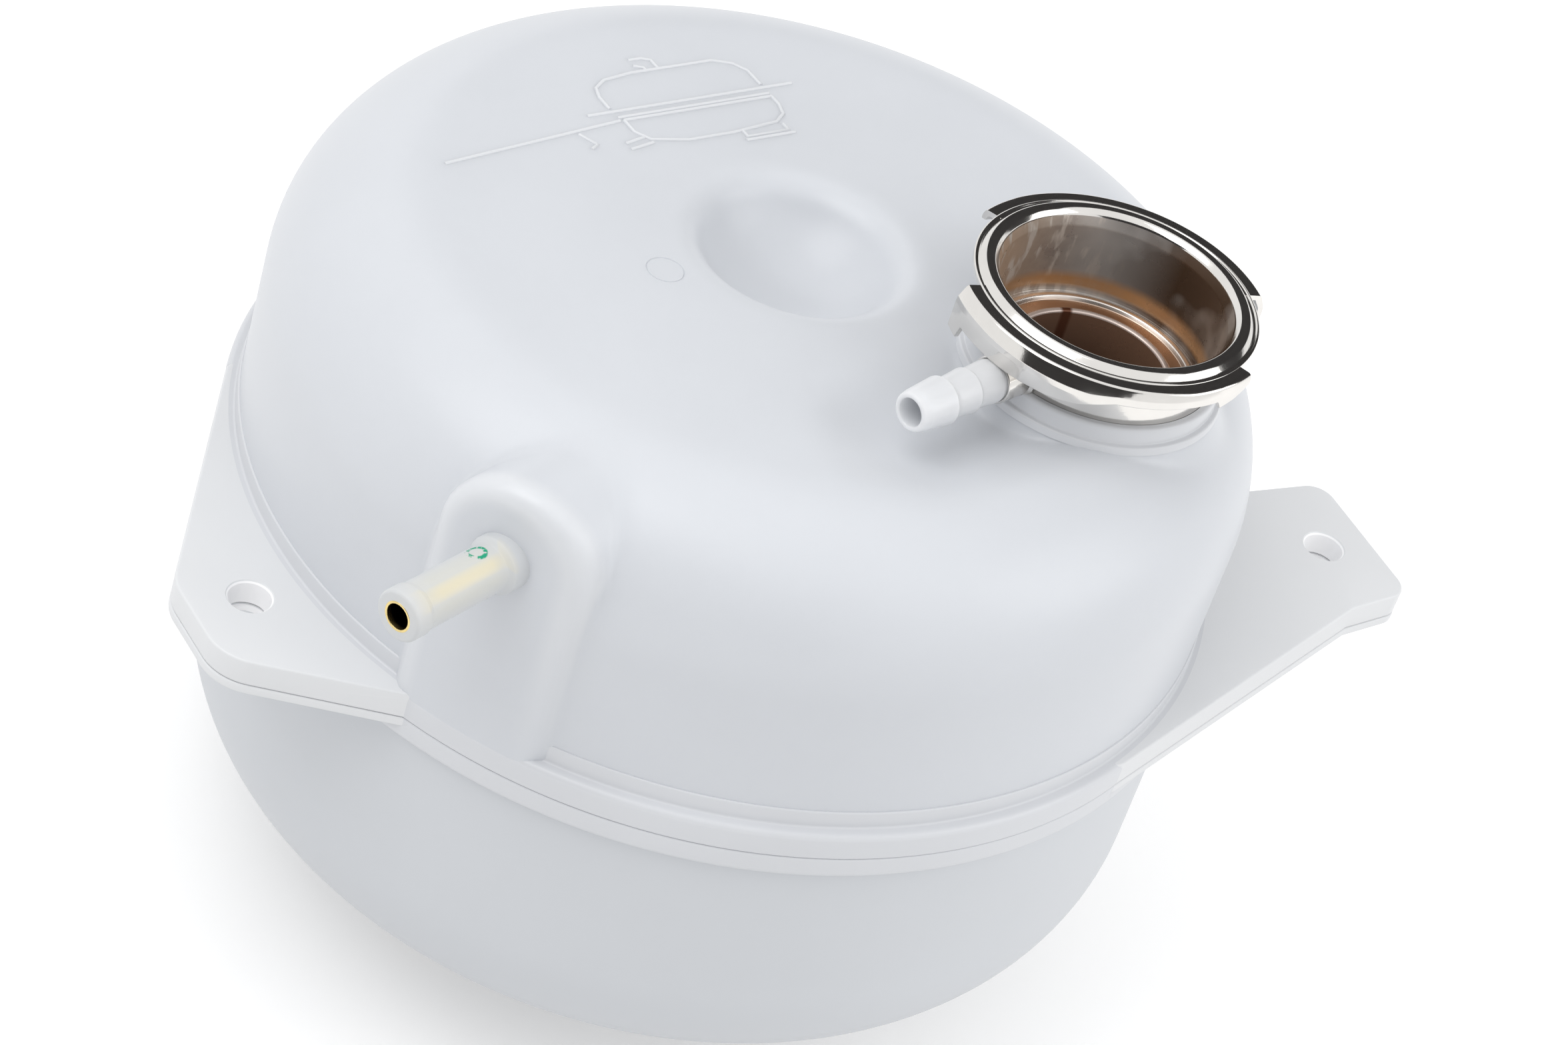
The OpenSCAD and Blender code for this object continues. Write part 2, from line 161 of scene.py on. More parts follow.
class StudioSettings(bpy.types.PropertyGroup):
    """Camera and light of the stage."""
    lens: FloatProperty(name="Lens", description="Focal length on a sensor 36 mm wide", default=93.83)
    azimuth: angle("Azimuth", -121.66, "Direction from the tank to the camera, in plan")
    elevation: angle("Elevation", 37.97, "Height of the camera above the horizon")
    roll: angle("Roll", 18.42, "Turn of the camera about its own axis")
    world: FloatProperty(name="World light", description="Strength of the even light", default=0.89)
    key: FloatProperty(name="Key light", description="Power of the large lamp", default=2.3, unit="POWER")
    fill: FloatProperty(name="Fill light", description="Power of the side lamp", default=1.35, unit="POWER")
    segments: IntProperty(name="Segments", description="Faces round a large turned piece", default=192)


GROUPS = {"tank_sizes": TankSizes, "dormer_sizes": DormerSizes, "neck_sizes": NeckSizes,
          "tank_colours": TankColours, "studio": StudioSettings}


# Mesh tools


def turn_point(x, y, azimuth):
    """The point (x, y) turned about the drum's axis."""
    c, s = math.cos(azimuth), math.sin(azimuth)
    return x * c - y * s, x * s + y * c


def heading(azimuth, elevation):
    """The direction with the given azimuth and elevation."""
    out = math.cos(elevation)
    return Vector((math.cos(azimuth) * out, math.sin(azimuth) * out, math.sin(elevation)))


def rounded_path(corners, steps=6):
    """Closed path through corners (a, b, radius), each rounded to its radius."""
    path = []
    count = len(corners)
    for i, (a, b, radius) in enumerate(corners):
        here = Vector((a, b))
        to_prev = Vector(corners[i - 1][:2]) - here
        to_next = Vector(corners[(i + 1) % count][:2]) - here
        if radius <= 0:
            path.append(tuple(here))
            continue
        prev, nxt = to_prev.normalized(), to_next.normalized()
        half = prev.angle(nxt) / 2
        cut = min(radius / math.tan(half), 0.499 * to_prev.length, 0.499 * to_next.length)
        radius = cut * math.tan(half)
        centre = here + (prev + nxt).normalized() * (radius / math.sin(half))
        start = (here + prev * cut) - centre
        sweep = start.angle_signed((here + nxt * cut) - centre)
        for k in range(steps + 1):
            turn = -sweep * k / steps
            c, s = math.cos(turn), math.sin(turn)
            path.append((centre.x + start.x * c - start.y * s, centre.y + start.x * s + start.y * c))
    return path


def band(a, b, n):
    """Faces between two rings of n points, which start at points a and b."""
    return [(a + k, b + k, b + (k + 1) % n, a + (k + 1) % n) for k in range(n)]


def profile(corners):
    """Closed path through corners that are given in millimetres."""
    return rounded_path([(a * MM, b * MM, radius * MM) for a, b, radius in corners], 5)


def turned(section, segments, start=0.0, sweep=math.tau):
    """Points and faces of a closed section (radius, height) turned about Z.

    The section may be a function of the direction, with the same number of points each time."""
    full = sweep >= math.tau - 1e-6
    rings = segments if full else segments + 1
    verts = []
    for i in range(rings):
        turn = start + sweep * i / segments
        points = section(turn) if callable(section) else section
        verts += [(r * math.cos(turn), r * math.sin(turn), z) for r, z in points]
    n = len(points)
    faces = []
    for i in range(segments):
        faces += band(i * n, ((i + 1) % rings) * n, n)
    if not full:
        faces += [tuple(range(n)), tuple(range((rings - 1) * n + n - 1, (rings - 1) * n - 1, -1))]
    return verts, faces


def swept(path, radius, segments):
    """Points and faces of a closed rod of round section along a path of points."""
    verts, faces = [], []
    side = Vector((0, 0, 1)).cross(path[-1] - path[-2]).normalized()
    for i, p in enumerate(path):
        ahead = (path[min(i + 1, len(path) - 1)] - path[max(i - 1, 0)]).normalized()
        other = ahead.cross(side)
        verts += [p + radius * (math.cos(t) * side + math.sin(t) * other)
                  for t in (math.tau * k / segments for k in range(segments))]
    last = (len(path) - 1) * segments
    for a in range(0, last, segments):
        b = a + segments
        faces += [(a + k, a + (k + 1) % segments, b + (k + 1) % segments, b + k) for k in range(segments)]
    faces += [tuple(range(segments - 1, -1, -1)), tuple(range(last, last + segments))]
    return verts, faces


def linked(name, data):
    """A new object with the given data, in the scene."""
    obj = bpy.data.objects.new(name, data)
    bpy.context.scene.collection.objects.link(obj)
    return obj


def made(name, verts, faces, material, place=None, tidy=True):
    """A closed mesh object from points and faces, merged, pointing outwards and smooth."""
    mesh = bpy.data.meshes.new(name)
    mesh.from_pydata([tuple(v) for v in verts], [], [tuple(int(i) for i in f) for f in faces])
    if place is not None:
        mesh.transform(place)
    if tidy:
        bm = bmesh.new()
        bm.from_mesh(mesh)
        bmesh.ops.remove_doubles(bm, verts=bm.verts, dist=0.002 * MM)
        bmesh.ops.recalc_face_normals(bm, faces=bm.faces)
        bm.to_mesh(mesh)
        bm.free()
    mesh.materials.append(material)
    obj = linked(name, mesh)
    smooth(obj, 40)
    return obj


def rod(name, radius, low, high, material, place, segments=48):
    """A plain round rod between two heights, moved to its place."""
    section = [(0, low), (radius, low), (radius, high), (0, high)]
    return made(name, *turned(section, segments), material, place)


def smooth(obj, sharp):
    """Smooth shading, with edges sharp past the given angle in degrees."""
    obj.data.shade_smooth()
    obj.data.set_sharp_from_angle(angle=math.radians(sharp))


def combined(obj, tools, operation):
    """Adds each tool to obj or cuts it from obj, and removes the tool. obj stays a plain mesh."""
    for tool in tools:
        for material in tool.data.materials:
            if material.name not in obj.data.materials:
                obj.data.materials.append(material)
        modifier = obj.modifiers.new("combine", "BOOLEAN")
        modifier.operation = operation
        modifier.solver = "MANIFOLD"
        modifier.material_mode = "TRANSFER"
        modifier.object = tool
        mesh = evaluated_mesh(obj)
        obj.modifiers.clear()
        obj.data = mesh
        bpy.data.objects.remove(tool)


def evaluated_mesh(obj):
    """The mesh that obj's modifiers make of it."""
    graph = bpy.context.evaluated_depsgraph_get()
    return bpy.data.meshes.new_from_object(obj.evaluated_get(graph), depsgraph=graph)


def sheet(name, place, width, height, material):
    """A flat four-sided piece of the stage."""
    w, h = width / 2, height / 2
    mesh = bpy.data.meshes.new(name)
    corners = (-w, -h, 0), (w, -h, 0), (w, h, 0), (-w, h, 0)
    mesh.from_pydata([place @ Vector(corner) for corner in corners], [], [(0, 1, 2, 3)])
    mesh.materials.append(material)
    return linked(name, mesh)


def refinished(node, finish):
    """Gives a CAD node that stays its own finish."""
    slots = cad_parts[node].data.materials
    slots.clear()
    slots.append(finishes.get(finish))


def settled(obj, slot, *nodes):
    """Finishes a piece: it rides on the tank and stands for its CAD nodes. The slot is not used."""
    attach(obj, "root")
    if nodes:
        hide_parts(*nodes)


# Implicit form of the upper half


def soft_min(a, b, k):
    """The smaller of two distances, with the step between them rounded over k."""
    h = np.clip(0.5 + 0.5 * (b - a) / k, 0, 1)
    return b * (1 - h) + a * h - k * h * (1 - h)


def soft_max(a, b, k):
    """The larger of two distances, with the step between them rounded over k."""
    return -soft_min(-a, -b, k)


def round_corner(a, b, radius):
    """Distance to the corner of two walls, rounded to the radius."""
    a, b = a + radius, b + radius
    return np.minimum(np.maximum(a, b), 0) + np.hypot(np.maximum(a, 0), np.maximum(b, 0)) - radius


class UpperForm:
    """Distance to the moulded form of the upper half, without its flange and ears."""

    hollow_radius, hollow_depth, hollow_rim = 26 * MM, 14 * MM, 8 * MM
    trough_radius, trough_depth, trough_length = 26 * MM, 4 * MM, 50 * MM
    foot_radius, ring_radius, foot_drop, foot_curve, foot_lean = 33 * MM, 26 * MM, 12 * MM, 1.3, 0.88
    dormer_start, throat_radius = 30 * MM, 24.2 * MM
    dormer_blend, trough_blend, tower_blend = 2 * MM, 5 * MM, 1 * MM

    def __init__(self, tank, dormer, neck):
        self.tank, self.dormer, self.neck = tank, dormer, neck
        self.neck_x, self.neck_y = turn_point(neck.distance, 0, neck.direction)

    def drum(self, r, z, inset):
        tank = self.tank
        return round_corner(r - tank.body_radius + inset, z - tank.top_height + inset, tank.shoulder - inset)

    def arch(self, x, y, z, inset):
        dormer = self.dormer
        ahead, side = turn_point(x, y, -dormer.direction)
        rise = np.maximum(z - dormer.height, 0)
        outline = np.hypot(side - dormer.side, rise) - dormer.arch + inset
        face = np.hypot(x, y) - self.tank.flange_radius + inset + 0.1 * MM
        edge = max(dormer.edge - inset, 0.3 * MM)
        return np.maximum(round_corner(outline, face, edge), self.dormer_start - ahead)

    def hollow(self, r, z, inset):
        slope = 2 * math.atan(self.hollow_depth / self.hollow_radius)
        bowl = self.hollow_radius / math.sin(slope) - self.hollow_rim
        top = self.tank.top_height
        in_bowl = bowl + inset - np.hypot(r, z - (top + bowl - self.hollow_depth))
        across, above = r - self.hollow_radius, z - (top - self.hollow_rim)
        on_rim = np.hypot(across, above) - self.hollow_rim + inset
        wedge = (across <= 0) & (above * math.sin(slope) >= -across * math.cos(slope))
        return np.where(wedge, on_rim, np.where(across > 0, z - top + inset, in_bowl))

    def trough(self, x, y, z, inset):
        ahead, side = turn_point(x - self.neck_x, y - self.neck_y, -self.neck.overflow)
        rise = z - (self.tank.top_height + self.trough_radius - self.trough_depth)
        past = np.maximum(ahead - self.trough_length, 0)
        return np.sqrt(past ** 2 + side ** 2 + rise ** 2) - self.trough_radius - inset

    def from_neck(self, x, y):
        return np.hypot(x - self.neck_x, y - self.neck_y)

    def tower(self, x, y, z, inset):
        top = self.tank.top_height + 0.6 * MM
        fall = np.clip((top - z) / self.foot_drop, 0, 1)
        flare = (self.foot_radius - self.ring_radius) * fall ** self.foot_curve
        side = (self.from_neck(x, y) - self.ring_radius + inset - flare) * self.foot_lean
        return np.maximum(np.maximum(side, z - top + inset), top - self.foot_drop - z)

    def solid(self, x, y, z, inset):
        r = np.hypot(x, y)
        form = soft_min(self.drum(r, z, inset), self.arch(x, y, z, inset), self.dormer_blend)
        form = soft_max(form, -self.trough(x, y, z, inset), self.trough_blend)
        form = soft_min(form, self.tower(x, y, z, inset), self.tower_blend)
        return np.maximum(form, self.hollow(r, z, inset))

    def shell(self, x, y, z):
        """Distance to the wall itself: positive outside the plastic, negative in it."""
        form = np.maximum(self.solid(x, y, z, 0), -self.solid(x, y, z, self.tank.wall))
        form = np.maximum(form, self.throat_radius - self.from_neck(x, y))
        return np.maximum(form, self.tank.seam_height + 2 * MM - z)


def surface_nets(distance, low, high, cell):
    """Points and four-sided faces of the surface where distance is zero."""
    count = np.ceil((np.array(high) - low) / cell).astype(int) + 1
    axes = [low[i] + cell * np.arange(count[i]) for i in range(3)]
    field = distance(*np.meshgrid(*axes, indexing="ij"))
    inside = field < 0
    filled = np.zeros(tuple(count - 1), int)
    for i, j, k in np.ndindex(2, 2, 2):
        filled += inside[i:count[0] - 1 + i, j:count[1] - 1 + j, k:count[2] - 1 + k]
    crossed = (filled > 0) & (filled < 8)
    cells = np.argwhere(crossed)
    index = -np.ones(tuple(count - 1), int)
    index[crossed] = np.arange(len(cells))
    total, hits = np.zeros((len(cells), 3)), np.zeros(len(cells))
    for axis in range(3):
        others = [a for a in range(3) if a != axis]
        for corner in np.ndindex(2, 2):
            near = np.zeros(3, int)
            near[others] = corner
            far = near.copy()
            far[axis] = 1
            a, b = field[tuple((cells + near).T)], field[tuple((cells + far).T)]
            cut = (a < 0) != (b < 0)
            point = np.tile(near.astype(float), (len(cells), 1))
            point[:, axis] = np.where(cut, a / np.where(cut, a - b, 1), 0)
            total += point * cut[:, None]
            hits += cut
    points = np.array(low) + cell * (cells + total / hits[:, None])
    faces = []
    for axis in range(3):
        b, c = (axis + 1) % 3, (axis + 2) % 3
        first = np.take(inside, range(count[axis] - 1), axis)
        edges = np.argwhere(first != np.take(inside, range(1, count[axis]), axis))
        starts_inside = first[tuple(edges.T)]
        quad = []
        for db, dc in ((-1, -1), (0, -1), (0, 0), (-1, 0)):
            at = edges.copy()
            at[:, b] += db
            at[:, c] += dc
            quad.append(index[tuple(at.T)])
        quad = np.stack(quad, 1)
        faces.append(np.where(starts_inside[:, None], quad, quad[:, ::-1]))
    return points, np.concatenate(faces)


def relaxed(distance, points, faces, rounds=3):
    """Evens the points out over the surface and draws them back onto it."""
    step = 0.02 * MM
    for _ in range(rounds):
        total, hits = np.zeros_like(points), np.zeros(len(points))
        for i in range(4):
            for a, b in ((faces[:, i], faces[:, (i + 1) % 4]), (faces[:, (i + 1) % 4], faces[:, i])):
                np.add.at(total, a, points[b])
                np.add.at(hits, a, 1)
        points = points + 0.5 * (total / hits[:, None] - points)
        for _ in range(2):
            slope = np.zeros_like(points)
            for axis in range(3):
                shift = np.zeros(3)
                shift[axis] = step
                slope[:, axis] = (distance(*(points + shift).T) - distance(*(points - shift).T)) / (2 * step)
            fall = distance(*points.T) / np.maximum((slope ** 2).sum(1), 0.05)
            points = points - fall[:, None] * slope
    return points


# Ears


def ear_circles(tank, left):
    """Circles (x, y, radius) whose hulls are an ear: the plate, then the right ear's web."""
    corner, end, half, skew = (11 if left else 5) * MM, 13 * MM, 18.5 * MM, 3 * MM
    reach, side, body, front = end - corner, half - corner, tank.body_radius, -tank.hole_front
    out = tank.flange_radius - body

    def rim(azimuth, r, radius):
        return (*turn_point(r, 0, math.radians(azimuth)), radius)

    if left:
        outer = []
        for place in ((reach, side), (reach - 1 * MM, skew - side)):
            x, y = turn_point(*place, math.atan2(tank.hole_front, tank.left_hole) + math.pi)
            outer.append((x - tank.left_hole, y + front, corner))
        return [outer + [rim(159, body, out), rim(-146, body, out)]]
    web = (tank.right_hole - skew - 1 * MM, front - side - 1 * MM, corner)
    plate = [(tank.right_hole + reach - skew, side + front + 1 * MM, corner),
             (tank.right_hole + reach, front - side + 2 * MM, corner), web, rim(-10, body + 1 * MM, corner)]
    return [plate, [web, rim(-10, body - corner, corner), rim(-59, body, out)]]


def hull_outline(circles, grow, directions=192):
    """Outline of the hull of some circles, each grown by the same amount."""
    outline = []
    for i in range(directions):
        t = math.tau * i / directions
        x, y = math.cos(t), math.sin(t)
        cx, cy, radius = max(circles, key=lambda c: c[0] * x + c[1] * y + c[2])
        outline.append((cx + (radius + grow) * x, cy + (radius + grow) * y))
    return outline


def ear(name, circles, hole, low, high, grow, edge, material):
    """A flat plate with the hull's outline, rounded edges and a hole, or none."""
    levels = [(low + edge * (1 - math.sin(t)), grow - edge * (1 - math.cos(t)))
              for t in (math.pi / 2 * k / 4 for k in range(5))]
    levels = levels[::-1] + [(low + high - z, g) for z, g in levels]
    verts, faces = [], []
    for z, g in levels:
        verts += [(x, y, z) for x, y in hull_outline(circles, g)]
    n = len(verts) // len(levels)
    last = len(verts) - n
    for row in range(0, last, n):
        faces += [(row + k, row + (k + 1) % n, row + n + (k + 1) % n, row + n + k) for k in range(n)]
    if hole is None:
        ends = [tuple(range(n - 1, -1, -1)), tuple(range(last, last + n))]
        return made(name, verts, faces + ends, material)
    hx, hy, radius = hole
    chamfer, rows = 0.5 * MM, [0]
    for z, r in ((low, radius + chamfer), (low + chamfer, radius),
                 (high - chamfer, radius), (high, radius + chamfer)):
        rows.append(len(verts))
        verts += [(hx + r * math.cos(t), hy + r * math.sin(t), z)
                  for t in (math.tau * k / n for k in range(n))]
    for a, b in zip(rows, rows[1:] + [last]):
        faces += band(a, b, n)
    return made(name, verts, faces, material)


def ears(tank, low, high, grow, edge, material):
    """Both ears of one half, as separate closed plates."""
    outlines = ear_circles(tank, True) + ear_circles(tank, False)
    holes = [(x, -tank.hole_front, tank.hole_radius) for x in (-tank.left_hole, tank.right_hole)] + [None]
    return [ear(name, circles, hole, low, high, grow, edge, material)
            for name, circles, hole in zip(("left_ear", "right_ear", "right_web"), outlines, holes)]


# Shader tools


def socket_name(key):
    """The name of the socket that a keyword stands for, such as IOR for ior."""
    return key.replace("_", " ").title().replace("Ior", "IOR")


def shade(tone, share):
    """A colour made darker or lighter by a share."""
    return [min(c * share, 1) for c in tone[:3]] + [1]


class Value:
    """A number, vector or colour in a node tree, which can stand in sums."""

    def __init__(self, shader, socket):
        self.shader, self.socket = shader, socket

    def __add__(self, other):
        return self.shader.math("ADD", self, other)

    def __sub__(self, other):
        return self.shader.math("SUBTRACT", self, other)

    def __rsub__(self, other):
        return self.shader.math("SUBTRACT", other, self)

    def __mul__(self, other):
        return self.shader.math("MULTIPLY", self, other)

    def __lt__(self, limit):
        return self.shader.math("LESS_THAN", self, limit)

    def __gt__(self, limit):
        return self.shader.math("GREATER_THAN", self, limit)

    def most(self, other):
        return self.shader.math("MAXIMUM", self, other)

    def hypot(self, other):
        return self.shader.math("SQRT", self * self + other * other)

    def ramp(self, low, high, to_low=0.0, to_high=1.0):
        return self.shader.value("ShaderNodeMapRange", {0: self, 1: low, 2: high, 3: to_low, 4: to_high})

    def vector(self, operation, other=(0, 0, 0), output="Vector"):
        return self.shader.value("ShaderNodeVectorMath", {0: self, 1: other}, output, operation=operation)

    def away(self, other=(0, 0, 0)):
        """How far the position lies from another."""
        return self.vector("SUBTRACT", other).vector("LENGTH", output="Value")

    def from_axis(self):
        """How far the position lies from the Z axis."""
        return self.vector("MULTIPLY", (1, 1, 0)).vector("LENGTH", output="Value")

    def parts(self):
        """The vector's X, Y and Z."""
        return self.shader.values(self.shader.add("ShaderNodeSeparateXYZ", {0: self})).values()

    def noise(self, scale, detail=3.0, roughness=0.5):
        inputs = {"Vector": self, "Scale": scale, "Detail": detail, "Roughness": roughness}
        return self.shader.value("ShaderNodeTexNoise", inputs, "Fac")

    def bump(self, strength, distance):
        inputs = {"Height": self, "Strength": strength, "Distance": distance}
        return self.shader.value("ShaderNodeBump", inputs, "Normal")


class Shader:
    """A few short ways to build a node tree."""

    def __init__(self, tree):
        self.tree, self.surface = tree, tree.nodes.get("Principled BSDF")

    def put(self, socket, value):
        value = getattr(value, "socket", value)
        if isinstance(value, bpy.types.NodeSocket):
            self.tree.links.new(value, socket)
        else:
            socket.default_value = value

    def add(self, kind, inputs=(), **settings):
        node = self.tree.nodes.new(kind)
        for key, value in settings.items():
            setattr(node, key, value)
        for key, value in dict(inputs).items():
            self.put(node.inputs[key], value)
        return node

    def values(self, node):
        """The node's outputs by name."""
        return {socket.name: Value(self, socket) for socket in node.outputs}

    def value(self, kind, inputs=(), output=0, **settings):
        """One output of a new node."""
        return Value(self, self.add(kind, inputs, **settings).outputs[output])

    def math(self, operation, *values):
        return self.value("ShaderNodeMath", enumerate(values), operation=operation)

    def mix(self, factor, first, second):
        return self.value("ShaderNodeMix", {0: factor, 6: first, 7: second}, 2, data_type="RGBA")

    def place(self):
        return self.value("ShaderNodeTexCoord", output="Object")

    def seen(self):
        """1 for what the camera sees, directly, mirrored or through glass, and 0 for what gives light."""
        path = self.values(self.add("ShaderNodeLightPath"))
        return path["Is Camera Ray"].most(path["Is Glossy Ray"].most(path["Is Transmission Ray"]))

    def finish(self, **values):
        """Puts values on the sockets of the Principled BSDF."""
        for key, value in values.items():
            self.put(self.surface.inputs[socket_name(key)], value)


def new_material(name):
    """A new material and its node tree."""
    material = bpy.data.materials.new(name)
    material.use_nodes = True
    return material, Shader(material.node_tree)


def group(name, inputs, outputs):
    """A new shader node group with named inputs and their defaults, and named outputs."""
    tree = bpy.data.node_groups.new(name, "ShaderNodeTree")
    sockets = tree.interface
    sockets.new_socket(name="Position", in_out="INPUT", socket_type="NodeSocketVector")
    for socket, default in inputs.items():
        made_socket = sockets.new_socket(name=socket, in_out="INPUT", socket_type="NodeSocketFloat")
        made_socket.default_value = default
    for socket in outputs:
        sockets.new_socket(name=socket, in_out="OUTPUT", socket_type="NodeSocketFloat")
    shader = Shader(tree)
    return shader, shader.values(shader.add("NodeGroupInput")), shader.add("NodeGroupOutput").inputs


def plastic_grain_group():
    """Slow clouds, fine grain and dark specks of moulded plastic."""
    scales = {"Cloud Scale": 14.0, "Grain Scale": 900.0, "Speck Scale": 60.0}
    shader, given, out = group("Plastic grain", scales, ["Cloud", "Grain", "Speck"])
    position = given["Position"]
    shader.put(out["Cloud"], position.noise(given["Cloud Scale"], 4.0, 0.55))
    shader.put(out["Grain"], position.noise(given["Grain Scale"], 2.0, 0.6))
    cells = shader.values(shader.add("ShaderNodeTexVoronoi",
                                     {"Vector": position, "Scale": given["Speck Scale"]}))
    chance = shader.value("ShaderNodeSeparateColor", {0: cells["Color"]})
    shader.put(out["Speck"], cells["Distance"].ramp(0.012, 0.03, 1.0, 0.0) * (chance > 0.9))
    return shader.tree


def metal_wear_group():
    """Mottling, fine pits and drawn lines of a plated or plain metal."""
    shader, given, out = group("Metal wear", {"Mottle Scale": 60.0, "Pit Scale": 1500.0},
                               ["Mottle", "Pits", "Lines"])
    position = given["Position"]
    shader.put(out["Mottle"], position.noise(given["Mottle Scale"], 5.0, 0.6))
    shader.put(out["Pits"], position.noise(given["Pit Scale"], 2.0, 0.5))
    shader.put(out["Lines"], position.vector("MULTIPLY", (1.0, 1.0, 14.0)).noise(160.0, 3.0, 0.6))
    return shader.tree


class Finishes:
    """The materials, each made once when it is first asked for."""

    # The second tone is painted light, pale on the walls of the ears' holes.
    speck_tone, hole_tone = (0.10, 0.09, 0.08, 1), (0.95, 0.95, 0.96, 1)
    # The last two tones are painted light on the pipe: the brass liner seen through the plastic, and its
    # highlight.
    pipe_tone, liner_shade, liner_gleam = (0.75, 0.77, 0.79, 1), (0.73, 0.735, 0.68, 1), (0.87, 0.81, 0.62, 1)
    # Painted shade: near black down the brass liner's bore.
    bore_painted_shade = (0.03, 0.02, 0.015, 1)
    wall_tones = (0.30, 0.25, 0.22, 1), (0.42, 0.36, 0.31, 1)
    wall_grey, wall_tan, wall_streak = (0.50, 0.49, 0.48, 1), (0.52, 0.36, 0.24, 1), (0.62, 0.56, 0.50, 1)
    wall_patch, wall_strip = (0.085, 0.05, 0.03, 1), (0.46, 0.25, 0.11, 1)
    seat_outer, seat_inner = (0.86, 0.80, 0.75, 1), (0.80, 0.68, 0.62, 1)
    tube_tone, stain_tone = (0.30, 0.17, 0.11, 1), (0.16, 0.06, 0.03, 1)

    def __init__(self):
        self.made = {}
        self.groups = {}

    def get(self, name):
        if name not in self.made:
            self.made[name], shader = new_material(name)
            getattr(self, name)(shader, bpy.context.scene.tank_colours)
        return self.made[name]

    def effect(self, shader, build, position, **values):
        if build not in self.groups:
            self.groups[build] = build()
        inputs = {socket_name(key): value for key, value in values.items()}
        return shader.values(shader.add("ShaderNodeGroup", {"Position": position, **inputs},
                                        node_tree=self.groups[build]))

    def milky(self, shader, base, position, variation=0.05, rough=0.34):
        """Cloudy moulded plastic with a fine grain and a few specks. Gives its colour."""
        grain = self.effect(shader, plastic_grain_group, position)
        cloud = grain["Cloud"]
        tone = shader.mix(cloud.ramp(0.3, 0.7), shade(base, 1 - variation), shade(base, 1 + variation))
        tone = shader.mix(grain["Speck"] * 0.6, tone, self.speck_tone)
        shader.finish(base_color=tone, roughness=cloud.ramp(0.2, 0.8, rough - 0.05, rough + 0.07),
                      normal=grain["Grain"].bump(0.08, 0.1 * MM), ior=1.5)
        return tone

    def on_pipe(self, position, dormer):
        """The position along the pipe's direction, beside its axis and above it."""
        along, across, height = position.shader.value(
            "ShaderNodeVectorRotate", {"Vector": position, "Angle": -dormer.direction},
            rotation_type="Z_AXIS").parts()
        return along, across - dormer.side, height - dormer.height

    def upper_plastic(self, shader, colours):
        position = shader.place()
        tone = self.milky(shader, colours.upper, position, 0.02)
        # The plastic's tone, with a painted highlight along the dormer's edge.
        shader.finish(base_color=shader.mix(self.dormer_edge_highlight(position), tone, colours.edge_highlight),
                      subsurface_weight=0.35, subsurface_radius=(1.0, 1.0, 1.0), subsurface_scale=5.0 * MM)

    def dormer_edge_highlight(self, position):
        """Painted highlight: a pale band along the dormer's edge. The band fades downwards on the neck's
        side.
        """
        dormer, radius = bpy.context.scene.dormer_sizes, bpy.context.scene.tank_sizes.flange_radius
        along, across, lift = self.on_pipe(position, dormer)
        outline = across.hypot(lift.most(0.0))
        band = outline.ramp(dormer.arch - 5.5 * MM, dormer.arch - 3 * MM)
        band = band * outline.ramp(dormer.arch + 0.8 * MM, dormer.arch + 0.2 * MM)
        band = band * position.from_axis().ramp(radius - 6.5 * MM, radius - 4 * MM)
        band = band * along.ramp(0.0, 40 * MM)
        return band * lift.ramp(-40 * MM, -5 * MM, 0.1, 0.7).most(across.ramp(0.0, 5 * MM, 0.75, 0.0))

    # The raised lines, ears, lower half and flange are copies of the upper half's plastic with painted light
    # in their tones: lighter for the lines, ears and flange, darker for the lower half.
    def line_plastic(self, shader, colours):
        self.milky(shader, colours.line, shader.place(), 0.03, 0.4)

    def ear_plastic(self, shader, colours):
        position, tank = shader.place(), bpy.context.scene.tank_sizes
        tone = self.milky(shader, colours.ear, position, 0.02)
        # Painted light: the holes' walls and chamfers are painted pale where they lie in shade.
        for x in (-tank.left_hole, tank.right_hole):
            away = position.vector("SUBTRACT", (x, -tank.hole_front, 0)).from_axis()
            tone = shader.mix(away < tank.hole_radius + 0.3 * MM, tone, self.hole_tone)
        shader.finish(base_color=tone)

    def lower_plastic(self, shader, colours):
        self.milky(shader, colours.lower, shader.place(), 0.02, 0.38)

    def flange_plastic(self, shader, colours):
        self.milky(shader, colours.flange, shader.place(), 0.03)

    def pipe_plastic(self, shader, colours):
        """Milky plastic with a printed ring mark, and a painted streak along one fixed side: the brass liner
        seen through the plastic, with a painted highlight on it.
        """
        dormer, position = bpy.context.scene.dormer_sizes, shader.place()
        pipe, face = dormer.pipe, dormer_face()
        tone = self.milky(shader, self.pipe_tone, position, 0.03, 0.4)
        along, across, lift = self.on_pipe(position, dormer)
        ends = along.ramp(face + 1 * MM, face + 6 * MM) * along.ramp(face + 26 * MM, face + 19 * MM)
        # One fixed side of the pipe, facing up and sideways, where the liner's show-through and its highlight
        # are painted.
        painted_streak_side = across * 0.53 + lift * 0.85
        for low, high, most, through in ((0.2, 0.8, 0.6, self.liner_shade),
                                         (0.93, 1.0, 0.9, self.liner_gleam)):
            tone = shader.mix(ends * painted_streak_side.ramp(low * pipe, high * pipe, 0.0, most), tone, through)
        mark = (*turn_point(face + 6.6 * MM, dormer.side - 1.2 * MM, dormer.direction),
                dormer.height + pipe * 0.97)
        ring = shader.math("ABSOLUTE", position.away(mark) - 1.7 * MM).ramp(0.3 * MM, 0.5 * MM, 1, 0)
        broken = position.noise(900.0, 2.0).ramp(0.42, 0.52)
        shader.finish(base_color=shader.mix(ring * broken, tone, colours.ink),
                      transmission_weight=0.2, ior=1.3)

    def nipple_plastic(self, shader, colours):
        self.milky(shader, colours.nipple, shader.place(), 0.03, 0.28)
        shader.finish(subsurface_weight=0.9, subsurface_radius=(1.0, 1.0, 1.0), subsurface_scale=3.0 * MM)

